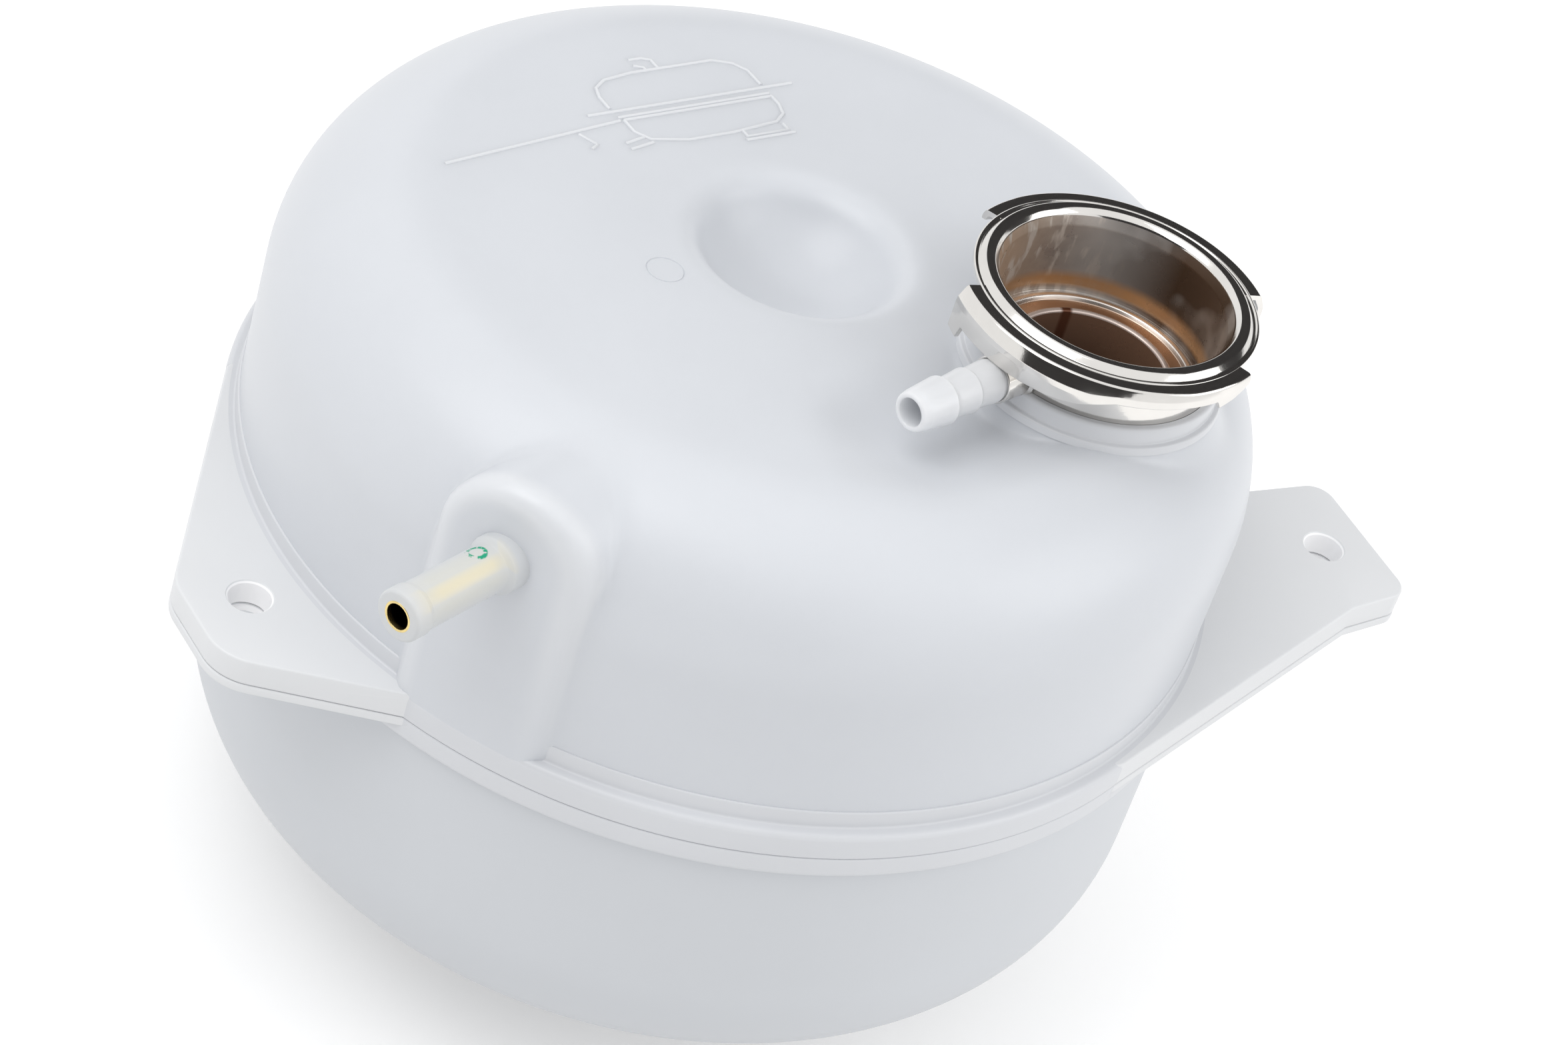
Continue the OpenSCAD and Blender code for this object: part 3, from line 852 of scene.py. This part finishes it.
    def nickel(self, shader, colours):
        """Bright plating outside, and dull tarnish of many tones inside the neck."""
        position, neck = shader.place(), bpy.context.scene.neck_sizes
        wear = self.effect(shader, metal_wear_group, position, mottle_scale=90.0)
        mottle = wear["Mottle"]
        offset = position.vector("SUBTRACT", (*turn_point(neck.distance, 0, neck.direction), 0.0))
        away, (x, y, z) = offset.from_axis(), offset.parts()
        turn, above_seat = shader.math("ARCTAN2", y, x), z - (neck.rim_height - neck.seat_depth)
        inside = (away < 23.4 * MM) * (above_seat < neck.seat_depth + 0.3 * MM)
        ledge = (above_seat < 1.0 * MM) * (away < 22.3 * MM)
        wall = self.throat_wall(shader, position, mottle, turn, z, above_seat)
        seat = self.throat_seat(shader, colours.tarnish, away, turn, above_seat)
        bright = shader.mix(mottle.ramp(0.3, 0.8), colours.nickel, shade(colours.nickel, 0.9))
        dull = inside * (1.0 - ledge * (away > 15.7 * MM))
        shader.finish(base_color=shader.mix(inside, bright, shader.mix(ledge, wall, seat)),
                      roughness=mottle.ramp(0.3, 0.7, 0.07, 0.16) + inside * 0.17,
                      metallic=1.0 - dull * 0.6, normal=wear["Pits"].bump(0.12, 0.05 * MM))

    def toward(self, turn, azimuth, low, high):
        """1 on the neck's side that faces the azimuth in degrees, and 0 away from it."""
        return turn.shader.math("COSINE", turn - math.radians(azimuth)).ramp(low, high)

    def throat_wall(self, shader, position, mottle, turn, z, above_seat):
        """Tones of the neck's inner wall: grey, tan, streaks, a dark patch and a strip above the seat."""
        around = shader.value("ShaderNodeCombineXYZ", {0: turn * 3.0, 1: z * 40.0})
        wall = shader.mix(mottle.ramp(0.38, 0.6), *self.wall_tones)
        for share, azimuth, low, high, tone in (
                (0.8, 50, 0.75, 1.0, self.wall_grey), (0.85, 172, 0.2, 0.9, self.wall_tan),
                (around.noise(3.0, 3.0).ramp(0.52, 0.62), 120, 0.3, 0.9, self.wall_streak),
                (position.noise(55.0, 3.0).ramp(0.36, 0.52), -15, 0.0, 0.75, self.wall_patch)):
            wall = shader.mix(self.toward(turn, azimuth, low, high) * share, wall, tone)
        strip = above_seat.ramp(1.0 * MM, 2.0 * MM) * above_seat.ramp(5.5 * MM, 3.5 * MM)
        return shader.mix(strip * mottle.ramp(0.3, 0.6, 0.6, 1.0), wall, self.wall_strip)

    def throat_seat(self, shader, tarnish, away, turn, above_seat):
        """Tones of the seat's rings, of the tube below it and of the stain beside its notch."""
        seat = shader.mix(away.ramp(19.6 * MM, 20.1 * MM), tarnish, self.seat_outer)
        seat = shader.mix(away.ramp(17.3 * MM, 16.8 * MM), seat, self.seat_inner)
        seat = shader.mix((away < 15.7 * MM) * (above_seat < 0.2 * MM), seat, self.tube_tone)
        stain = self.toward(turn, 84, 0.996, 0.999) * (away < 17.2 * MM)
        return shader.mix(stain, seat, self.stain_tone)

    def brass(self, shader, colours):
        """Plain brass, with painted shade down its bore."""
        position, dormer = shader.place(), bpy.context.scene.dormer_sizes
        wear = self.effect(shader, metal_wear_group, position, mottle_scale=200.0)
        along, across, lift = self.on_pipe(position, dormer)
        mouth, mottle = dormer_face() + dormer.pipe_length, wear["Mottle"]
        # Painted shade: the bore is near black from just inside its mouth.
        deep = (across.hypot(lift) < dormer.bore + 0.1 * MM) * along.ramp(mouth - 0.2 * MM, mouth - 1.2 * MM)
        clean = shader.mix(mottle.ramp(0.3, 0.7), colours.brass, shade(colours.brass, 0.75))
        shader.finish(base_color=shader.mix(deep, clean, self.bore_painted_shade), metallic=1.0,
                      roughness=mottle.ramp(0.3, 0.7, 0.2, 0.35), normal=wear["Lines"].bump(0.1, 0.05 * MM))

    def rubber(self, shader, colours):
        self.milky(shader, colours.rubber, shader.place(), 0.2, 0.6)


finishes = Finishes()


# Places on the tank


def dormer_face():
    """Distance of the dormer's face from the drum's axis, along the pipe."""
    scene = bpy.context.scene
    return math.sqrt(scene.tank_sizes.flange_radius ** 2 - scene.dormer_sizes.side ** 2)


def along_pipe(dormer):
    """Turns the Z of a turned piece into the pipe's direction, with zero at the dormer's face."""
    start = Matrix.Translation((dormer_face(), dormer.side, dormer.height))
    return Matrix.Rotation(dormer.direction, 4, "Z") @ start @ Matrix.Rotation(math.pi / 2, 4, "Y")


def at_neck(neck, height):
    """Puts a turned piece on the neck's axis, with its zero at the given height."""
    return Matrix.Translation((*turn_point(neck.distance, 0, neck.direction), height))


def along_overflow(neck):
    """Turns the Z of a turned piece into the overflow's direction, with zero at the neck's axis."""
    return (at_neck(neck, neck.rim_height - neck.overflow_depth) @ Matrix.Rotation(neck.overflow, 4, "Z")
            @ Matrix.Rotation(math.pi / 2, 4, "Y"))


# Operators


class TANK_OT_stage(bpy.types.Operator):
    """Make the camera, the floor, the lamps and the even light"""
    bl_idname = "tank.stage"
    bl_label = "Stage"

    eye_place = (-333.0, -566.7, 584.4)
    lamp_aim = (0, 0, 0.07)
    card_aim = (0.045, -0.04, 0.14)
    card_tones = (0.02, 0.02, 0.02, 1), (0.035, 0.03, 0.03, 1)
    # Name, azimuth and elevation in degrees, distance, width and height
    cards = ("far_card", 28, 38, 1.2, 2.6, 1.25), ("near_card", -129, 22, 1.4, 2.25, 1.35)
    # Name, place and size
    lamps = ("key", (-0.45, -0.05, 0.82), 0.6), ("fill", (0.62, -0.42, 0.5), 0.5)

    def execute(self, context):
        scene = context.scene
        scene.view_settings.view_transform = "Standard"
        self.camera(scene, scene.studio)
        self.world(scene)
        self.floor(scene.tank_colours.floor)
        for card in self.cards:
            self.card(*card)
        for name, place, size in self.lamps:
            self.lamp(name, getattr(scene.studio, name), place, size)
        return {"FINISHED"}

    def camera(self, scene, studio):
        lens = bpy.data.cameras.new("camera")
        lens.sensor_fit, lens.sensor_width, lens.lens = "HORIZONTAL", 36.0, studio.lens
        lens.clip_start, lens.clip_end = 0.05, 20.0
        back = heading(studio.azimuth, studio.elevation)
        level = Vector((-math.sin(studio.azimuth), math.cos(studio.azimuth), 0))
        upright = back.cross(level)
        c, s = math.cos(studio.roll), math.sin(studio.roll)
        place = Matrix((level * c + upright * s, upright * c - level * s, back)).transposed().to_4x4()
        place.translation = Vector(self.eye_place) * MM
        scene.camera = linked("camera", lens)
        scene.camera.matrix_world = place

    def world(self, scene):
        """Even light, which looks white to the camera and in reflections."""
        scene.world = bpy.data.worlds.new("studio")
        scene.world.use_nodes = True
        tree = scene.world.node_tree
        shader, background = Shader(tree), tree.nodes["Background"].inputs
        background["Color"].default_value = (1, 1, 1, 1)
        shader.put(background["Strength"], shader.seen().ramp(0, 1, scene.studio.world, 1.0))

    def floor(self, tone):
        """A pale floor with a glow that is seen but lights nothing."""
        material, shader = new_material("floor")
        shader.finish(base_color=shader.mix(shader.place().noise(2.0, 3.0), tone, shade(tone, 0.98)),
                      roughness=0.9, specular_ior_level=0.2)
        glow = shader.add("ShaderNodeEmission", {"Color": (1, 1, 1, 1), "Strength": shader.seen() * 0.30})
        both = shader.add("ShaderNodeAddShader", {0: shader.surface.outputs[0], 1: glow.outputs[0]})
        shader.put(shader.tree.nodes["Material Output"].inputs["Surface"], both.outputs[0])
        floor = sheet("floor", Matrix.Translation((0, 0, CAD_BOX[0].z - 0.3 * MM)), 8.0, 8.0, material)

    def card(self, name, azimuth, elevation, distance, width, height):
        """A dark card that shows only in glossy reflections."""
        way = heading(math.radians(azimuth), math.radians(elevation))
        turn = (-way).to_track_quat("Z", "Y").to_matrix().to_4x4()
        material, shader = new_material(name)
        shader.finish(base_color=shader.mix(shader.place().noise(3.0), *self.card_tones), roughness=0.8)
        place = Matrix.Translation(way * distance + Vector(self.card_aim)) @ turn
        card = sheet(name, place, width, height, material)
        card.visible_camera = card.visible_diffuse = card.visible_shadow = card.visible_transmission = False

    def lamp(self, name, power, place, size):
        light = bpy.data.lights.new(name, "AREA")
        light.energy, light.size = power, size
        aim = Vector(self.lamp_aim) - Vector(place)
        turn = aim.to_track_quat("-Z", "Y").to_matrix().to_4x4()
        linked(name, light).matrix_world = Matrix.Translation(place) @ turn


class TANK_OT_upper_shell(bpy.types.Operator):
    """Make the upper half: wall, dormer, hollow, trough, tower, pipe, flange and ears"""
    bl_idname = "tank.upper_shell"
    bl_label = "Upper half"

    def execute(self, context):
        scene = context.scene
        tank, dormer, neck = scene.tank_sizes, scene.dormer_sizes, scene.neck_sizes
        wall, edge = finishes.get("upper_plastic"), finishes.get("flange_plastic")
        segments = scene.studio.segments
        form, reach = UpperForm(tank, dormer, neck), tank.flange_radius + 3 * MM
        points, faces = surface_nets(form.shell, [-reach, -reach, tank.seam_height - 3 * MM],
                                     [reach, reach, tank.top_height + 4 * MM], tank.cell)
        cap = made("upper_half", relaxed(form.shell, points, faces), faces, wall, tidy=False)
        low, high = tank.seam_height + SEAM_GAP, tank.seam_height + tank.upper_flange
        parts = [self.flange(tank, low, high, segments, edge)]
        parts += ears(tank, low, high, 0.0, 0.5 * MM, finishes.get("ear_plastic"))
        parts += [self.collar(tank.top_height, at_neck(neck, 0), segments, edge),
                  self.pipe(dormer, finishes.get("pipe_plastic"))]
        combined(cap, parts, "UNION")
        bore, tip = (dormer.liner + dormer.bore) / 2, dormer.pipe_length + 1 * MM
        cuts = [rod("bore", bore, -12 * MM, tip, wall, along_pipe(dormer)),
                self.gate_groove(tank.top_height, wall),
                rod("stub_groove", 4.75 * MM, 22 * MM, 30.4 * MM, edge, along_overflow(neck))]
        combined(cap, cuts, "DIFFERENCE")
        smooth(cap, 42)
        settled(cap, "translucent_plastic", "upper_shell")
        return {"FINISHED"}

    def flange(self, tank, low, high, segments, material):
        """Upper half of the flange, with the narrow strip above it."""
        inner, ledge = tank.body_radius - tank.wall + 0.3 * MM, tank.body_radius + tank.strip_out
        outer, strip = tank.flange_radius, high + tank.strip_height
        section = rounded_path([(inner, low, 0), (outer, low, 0.35 * MM), (outer, high, tank.flange_edge),
                                (ledge, high, 0.5 * MM), (ledge, strip, 0.3 * MM), (inner, strip, 0)])
        return made("flange", *turned(section, segments), material)

    def collar(self, top, place, segments, material):
        """The ring that stands round the neck. Its heights are from the top of the tank."""
        corners = ((23.75, -8, 0), (24.9, -8, 0), (25.6, -0.4, 0), (26.6, -0.4, 0), (26.4, 1.2, 0.5),
                   (25.3, 1.3, 0.3), (25.2, 4.8, 0.8), (23.75, 4.8, 0))
        section = rounded_path([(r * MM, top + z * MM, radius * MM) for r, z, radius in corners])
        return made("collar", *turned(section, segments), material, place)

    def pipe(self, dormer, material):
        tip, bead, collar = dormer.pipe_length, 5.05 * MM, 5.7 * MM
        section = rounded_path([(0, -5 * MM, 0), (collar, -5 * MM, 0), (collar, 2.2 * MM, 0.9 * MM),
                                (dormer.pipe, 3.2 * MM, 0.8 * MM), (dormer.pipe, tip - 4.4 * MM, 0.6 * MM),
                                (bead, tip - 3.4 * MM, 0.5 * MM), (bead, tip, 0.7 * MM), (0, tip, 0)])
        return made("pipe", *turned(section, 64), material, along_pipe(dormer))

    def gate_groove(self, top, material):
        """Cuts the thin round groove that the moulding gate left on the top."""
        r, groove = 3.6 * MM, 0.2 * MM
        section = [(r, top - groove), (r + groove, top - groove), (r + 1.6 * groove, top + groove),
                   (r - 0.6 * groove, top + groove)]
        place = Matrix.Translation((*turn_point(32 * MM, 0, math.radians(-166.3)), 0))
        return made("gate_groove", *turned(section, 48), material, place)


class TANK_OT_lower_shell(bpy.types.Operator):
    """Make the lower half: tub, flange, ears and outlet elbow"""
    bl_idname = "tank.lower_shell"
    bl_label = "Lower half"

    def execute(self, context):
        scene = context.scene
        tank, segments = scene.tank_sizes, scene.studio.segments
        wall, edge = finishes.get("lower_plastic"), finishes.get("flange_plastic")
        r, seam, corner, t = tank.lower_radius, tank.seam_height - SEAM_GAP, tank.base_corner, tank.wall
        tub = rounded_path([(0, 0, 0), (r, 0, corner), (r, seam, 0), (r - t, seam, 0),
                            (r - t, t, corner - t), (0, t, 0)], 24)
        body = made("lower_half", *turned(tub, segments), wall)
        low, inner = seam - tank.lower_flange, r - t + 0.3 * MM
        section = rounded_path([(inner, low, 0), (tank.flange_radius, low, tank.flange_edge),
                                (tank.flange_radius, seam, 0.35 * MM), (inner, seam, 0)])
        flange = made("flange", *turned(section, segments), edge)
        plates = ears(tank, seam - 2 * MM, seam, 0.1 * MM, 0.4 * MM, finishes.get("ear_plastic"))
        combined(body, [flange, *plates], "UNION")
        path = self.outlet_path(scene.dormer_sizes)
        ahead = (path[-1] - path[-2]).normalized()
        tube = made("outlet", *swept(path, 7.5 * MM, 64), wall)
        bead = made("bead", *swept([path[-1] - ahead * 3 * MM, path[-1]], 8 * MM, 64), wall)
        combined(body, [tube, bead], "UNION")
        line = [path[0] + Vector((0, 0, 2 * MM)), *path, path[-1] + ahead * MM]
        combined(body, [made("drill", *swept(line, 4.9 * MM, 48), wall)], "DIFFERENCE")
        smooth(body, 42)
        settled(body, "translucent_plastic", "lower_shell")
        return {"FINISHED"}

    def outlet_path(self, dormer):
        """The outlet's middle line: down out of the base and round to the dormer's side."""
        bend, drop, foot, reach = 8 * MM, 12 * MM, 33 * MM, 27 * MM
        path = [Vector((0, 0, 2 * MM)), Vector((0, 0, bend - drop))]
        path += [Vector((bend - bend * math.cos(t), 0, bend - drop - bend * math.sin(t)))
                 for t in (math.pi / 2 * k / 10 for k in range(1, 11))]
        path.append(Vector((reach, 0, -drop)))
        place = Matrix.Rotation(dormer.direction, 3, "Z")
        return [place @ (p + Vector((foot, 0, 0))) for p in path]


class TANK_OT_filler_neck(bpy.types.Operator):
    """Make the drawn sheet neck with its rolled rim and two cams, and finish its seal"""
    bl_idname = "tank.filler_neck"
    bl_label = "Filler neck"

    cam_starts, cam_length = (-184.5, -4.5), 129.0
    # Degrees past the cam's start, and the lip's depth and outward lean there
    cam_depths = ((0, 9.4), (6, 9.6), (7.5, 6.8), (30, 6.7), (50, 6.3), (60, 5.5), (72, 3.4), (112, 2.9),
                  (114, 4.6), (121, 3.7), (cam_length, 2.0))
    cam_flares = ((0, 1.4), (15, 1.1), (55, 1.1), (75, 0.6), (cam_length, 0.4))

    def execute(self, context):
        neck, nickel = context.scene.neck_sizes, finishes.get("nickel")
        place = at_neck(neck, neck.rim_height)
        body = made("neck", *turned(self.throat(neck), context.scene.studio.segments), nickel, place)
        cams = [self.cam(neck, math.radians(start), nickel, place) for start in self.cam_starts]
        combined(body, cams, "UNION")
        combined(body, [rod("drill", 4.2 * MM, 0, 40 * MM, nickel, along_overflow(neck), 40)], "DIFFERENCE")
        smooth(body, 35)
        settled(body, "nickel", "filler_neck")
        refinished("neck_seal", "rubber")
        return {"FINISHED"}

    def throat(self, neck):
        """Section of the tube, the seat, the spigot and the rolled bead, with zero at the rim's flat."""
        sizes = neck.bore, neck.sheet, neck.seat, -neck.seat_depth, neck.bead
        r, t, seat, low, bead = (size / MM for size in sizes)
        return profile([
            (seat, low - 9, 0.3), (seat, low + 0.6, 0.4), (seat + 1.0, low + 0.8, 0.4),
            (seat + 1.6, low, 0.4), (19.7, low, 0.3), (20.2, low + 0.8, 0.4),
            (21.2, low + 0.8, 0.4), (21.7, low + 0.1, 0.4),
            (r, low + 0.1, 1.0), (r, -1.8, 1.6), (23.5, 0.5, 1.0), (bead - 1.2, 1.45, 1.0),
            (bead + 0.5, 1.45, 1.0), (bead + 1.6, 0.35, 0.3), (bead + 1.85, 0.15, 0.15),
            (bead + 2.3, 0.5, 0.2), (bead + 2.7, 0.3, 0.15), (bead + 2.7, -0.8, 0.3),
            (24.6, -0.9, 0.5), (r + t, -1.8, 0.6), (r + t, low - t, 1.0),
            (seat + t, low - t, 0.4), (seat + t, low - 9, 0.3)])

    def cam(self, neck, start, material, place):
        """One cam. Its turned down lip is deep at its stop, at the start, and runs out to a small tab."""
        r, t = neck.cam / MM - 0.2, neck.sheet / MM

        def section(turn):
            past = math.degrees(turn - start)
            rules = self.cam_depths, self.cam_flares
            depth, flare = (float(np.interp(past, *zip(*rule))) for rule in rules)
            bend, foot = min(2.5, 0.5 * depth), min(3.6, 0.85 * depth)
            return profile([
                (26.4, 0.3, 0), (r, 0.2, 0.8), (r + 0.9 * flare, -bend, 1.0), (r + flare, -foot, 1.0),
                (r + flare, -depth, 0.25), (r + flare - t, -depth, 0.25), (r + flare - t, -foot, 1.0),
                (r + 0.9 * flare - t, -bend - 0.3, 1.0), (r - t, 0.2 - t, 0.5), (26.4, -t, 0)])
        return made("cam", *turned(section, 172, start, math.radians(self.cam_length)), material, place)


class TANK_OT_overflow(bpy.types.Operator):
    """Make the metal stub and the barbed nipple of the overflow"""
    bl_idname = "tank.overflow"
    bl_label = "Overflow"

    # Sections, in millimetres
    stub = ((4.2, 23.4, 0), (5.4, 23.2, 0.3), (5.3, 24.2, 0.3), (4.7, 24.9, 0.4), (4.7, 30.8, 0.25),
            (4.2, 30.8, 0.2))
    nipple = ((2.8, 24.8, 0), (4.15, 24.8, 0.2), (4.15, 31.4, 0), (4.35, 31.6, 0.2), (4.2, 34.0, 2.0),
              (4.0, 37.2, 0.4), (4.45, 37.9, 0.35), (3.95, 43.2, 1.0), (4.0, 43.8, 0.4), (4.8, 44.6, 0.4),
              (4.2, 51.0, 1.5), (3.75, 52.9, 0.8), (2.8, 52.9, 0.3))

    def execute(self, context):
        place = along_overflow(context.scene.neck_sizes)
        stub = made("stub", *turned(profile(self.stub), 64), finishes.get("nickel"), place)
        settled(stub, "nickel", "overflow_stub")
        nipple = made("nipple", *turned(profile(self.nipple), 72), finishes.get("nipple_plastic"), place)
        settled(nipple, "white_plastic", "overflow_nipple")
        return {"FINISHED"}


class TANK_OT_liners(bpy.types.Operator):
    """Make the brass tube in the return pipe, and finish the one in the outlet"""
    bl_idname = "tank.liners"
    bl_label = "Liners"

    def execute(self, context):
        dormer = context.scene.dormer_sizes
        tip, edge = dormer.pipe_length + 0.05 * MM, 0.1 * MM
        section = rounded_path([(dormer.bore, -6 * MM, 0), (dormer.liner, -6 * MM, 0),
                                (dormer.liner, tip, edge), (dormer.bore, tip, edge)], 3)
        liner = made("return_tube", *turned(section, 64), finishes.get("brass"), along_pipe(dormer))
        settled(liner, "brass", "return_liner")
        refinished("outlet_liner", "brass")
        return {"FINISHED"}


class TANK_OT_raised_picture(bpy.types.Operator):
    """Draw the small raised line picture of a tank on the top"""
    bl_idname = "tank.raised_picture"
    bl_label = "Raised picture"

    # Strokes in millimetres, upright, with zero in the middle of the drawn flange
    strokes = (
        ((-25, 0), (25, 0)),
        ((-18, 2), (19, 2)),
        ((-18, 3), (18, 3)),
        ((-18, -1), (-18, -6), (-16, -9), (-12, -11), (8, -11), (15, -10), (18, -8), (19, -5), (19, -1)),
        ((18, 3), (18, 7), (16, 10), (8, 12), (-3, 12), (-14, 11), (-17, 9), (-18, 6), (-18, 3)),
        ((-15, 12), (-15, 14), (-5, 14), (-5, 12)),
        ((-16, 15), (-4, 15)),
        ((16, 11), (22, 12)),
        ((17, 9), (22, 10)),
        ((1, -11), (1, -14), (3, -15), (6, -15)),
        ((4, -11), (4, -12), (6, -13)),
        ((19, 3), (62, 7)),
        ((30, 5), (28, 9), (30, 10)),
    )
    middle, turn = (-7 * MM, 47 * MM), math.radians(193.5)

    def execute(self, context):
        curve = bpy.data.curves.new("raised_picture", "CURVE")
        curve.dimensions = "3D"
        for stroke in self.strokes:
            line = curve.splines.new("POLY")
            line.points.add(len(stroke) - 1)
            for point, (x, y) in zip(line.points, stroke):
                point.co = (x * MM, y * MM, 0, 1)
        top = Matrix.Translation((*self.middle, context.scene.tank_sizes.top_height))
        curve.transform(top @ Matrix.Rotation(self.turn, 4, "Z"))
        drawing = linked("raised_picture", curve)
        modifier = drawing.modifiers.new("lines", "NODES")
        modifier.node_group, sockets = self.line_tree(finishes.get("line_plastic"))
        modifier[sockets["Line Radius"]] = 0.4 * MM
        modifier[sockets["Line Sides"]] = 8
        mesh = evaluated_mesh(drawing)
        bpy.data.objects.remove(drawing)
        picture = linked("raised_picture", mesh)
        smooth(picture, 60)
        settled(picture, "translucent_plastic")
        return {"FINISHED"}

    def line_tree(self, material):
        """A tree that turns the strokes into round raised lines, and its inputs' identifiers."""
        tree, sockets = bpy.data.node_groups.new("Raised lines", "GeometryNodeTree"), {}
        for name, kind in (("Geometry", "Geometry"), ("Line Radius", "Float"), ("Line Sides", "Int")):
            socket = tree.interface.new_socket(name=name, in_out="INPUT", socket_type="NodeSocket" + kind)
            sockets[name] = socket.identifier
        tree.interface.new_socket(name="Geometry", in_out="OUTPUT", socket_type="NodeSocketGeometry")
        given, ring, sweep, real, paint, out = (tree.nodes.new(kind) for kind in (
            "NodeGroupInput", "GeometryNodeCurvePrimitiveCircle", "GeometryNodeCurveToMesh",
            "GeometryNodeRealizeInstances", "GeometryNodeSetMaterial", "NodeGroupOutput"))
        sweep.inputs["Fill Caps"].default_value = True
        paint.inputs["Material"].default_value = material
        for start, output, end, entry in (
                (given, "Line Radius", ring, "Radius"), (given, "Line Sides", ring, "Resolution"),
                (given, "Geometry", sweep, "Curve"), (ring, "Curve", sweep, "Profile Curve"),
                (sweep, "Mesh", real, "Geometry"), (real, "Geometry", paint, "Geometry"),
                (paint, "Geometry", out, "Geometry")):
            tree.links.new(start.outputs[output], end.inputs[entry])
        return tree, sockets


class TANK_PT_panel(bpy.types.Panel):
    """Panel that lists the steps that build the tank"""
    bl_idname = "TANK_PT_panel"
    bl_label = "Coolant Tank"
    bl_space_type = "VIEW_3D"
    bl_region_type = "UI"
    bl_category = "Tank"

    def draw(self, context):
        for step in STEPS:
            self.layout.operator(step.bl_idname)
        for name in GROUPS:
            box = self.layout.box()
            settings = getattr(context.scene, name)
            for key in GROUPS[name].__annotations__:
                box.prop(settings, key)


STEPS = (TANK_OT_stage, TANK_OT_lower_shell, TANK_OT_upper_shell, TANK_OT_liners,
         TANK_OT_filler_neck, TANK_OT_overflow, TANK_OT_raised_picture)
CLASSES = (*GROUPS.values(), *STEPS, TANK_PT_panel)


def register():
    for cls in CLASSES:
        bpy.utils.register_class(cls)
    for name, cls in GROUPS.items():
        setattr(bpy.types.Scene, name, PointerProperty(type=cls))


def unregister():
    for name in GROUPS:
        delattr(bpy.types.Scene, name)
    for cls in reversed(CLASSES):
        bpy.utils.unregister_class(cls)


def main():
    register()
    for step in STEPS:
        area, name = step.bl_idname.split(".")
        if getattr(getattr(bpy.ops, area), name)() != {"FINISHED"}:
            raise RuntimeError(f"{step.bl_label} didn't finish")


if __name__ == "__main__":
    main()
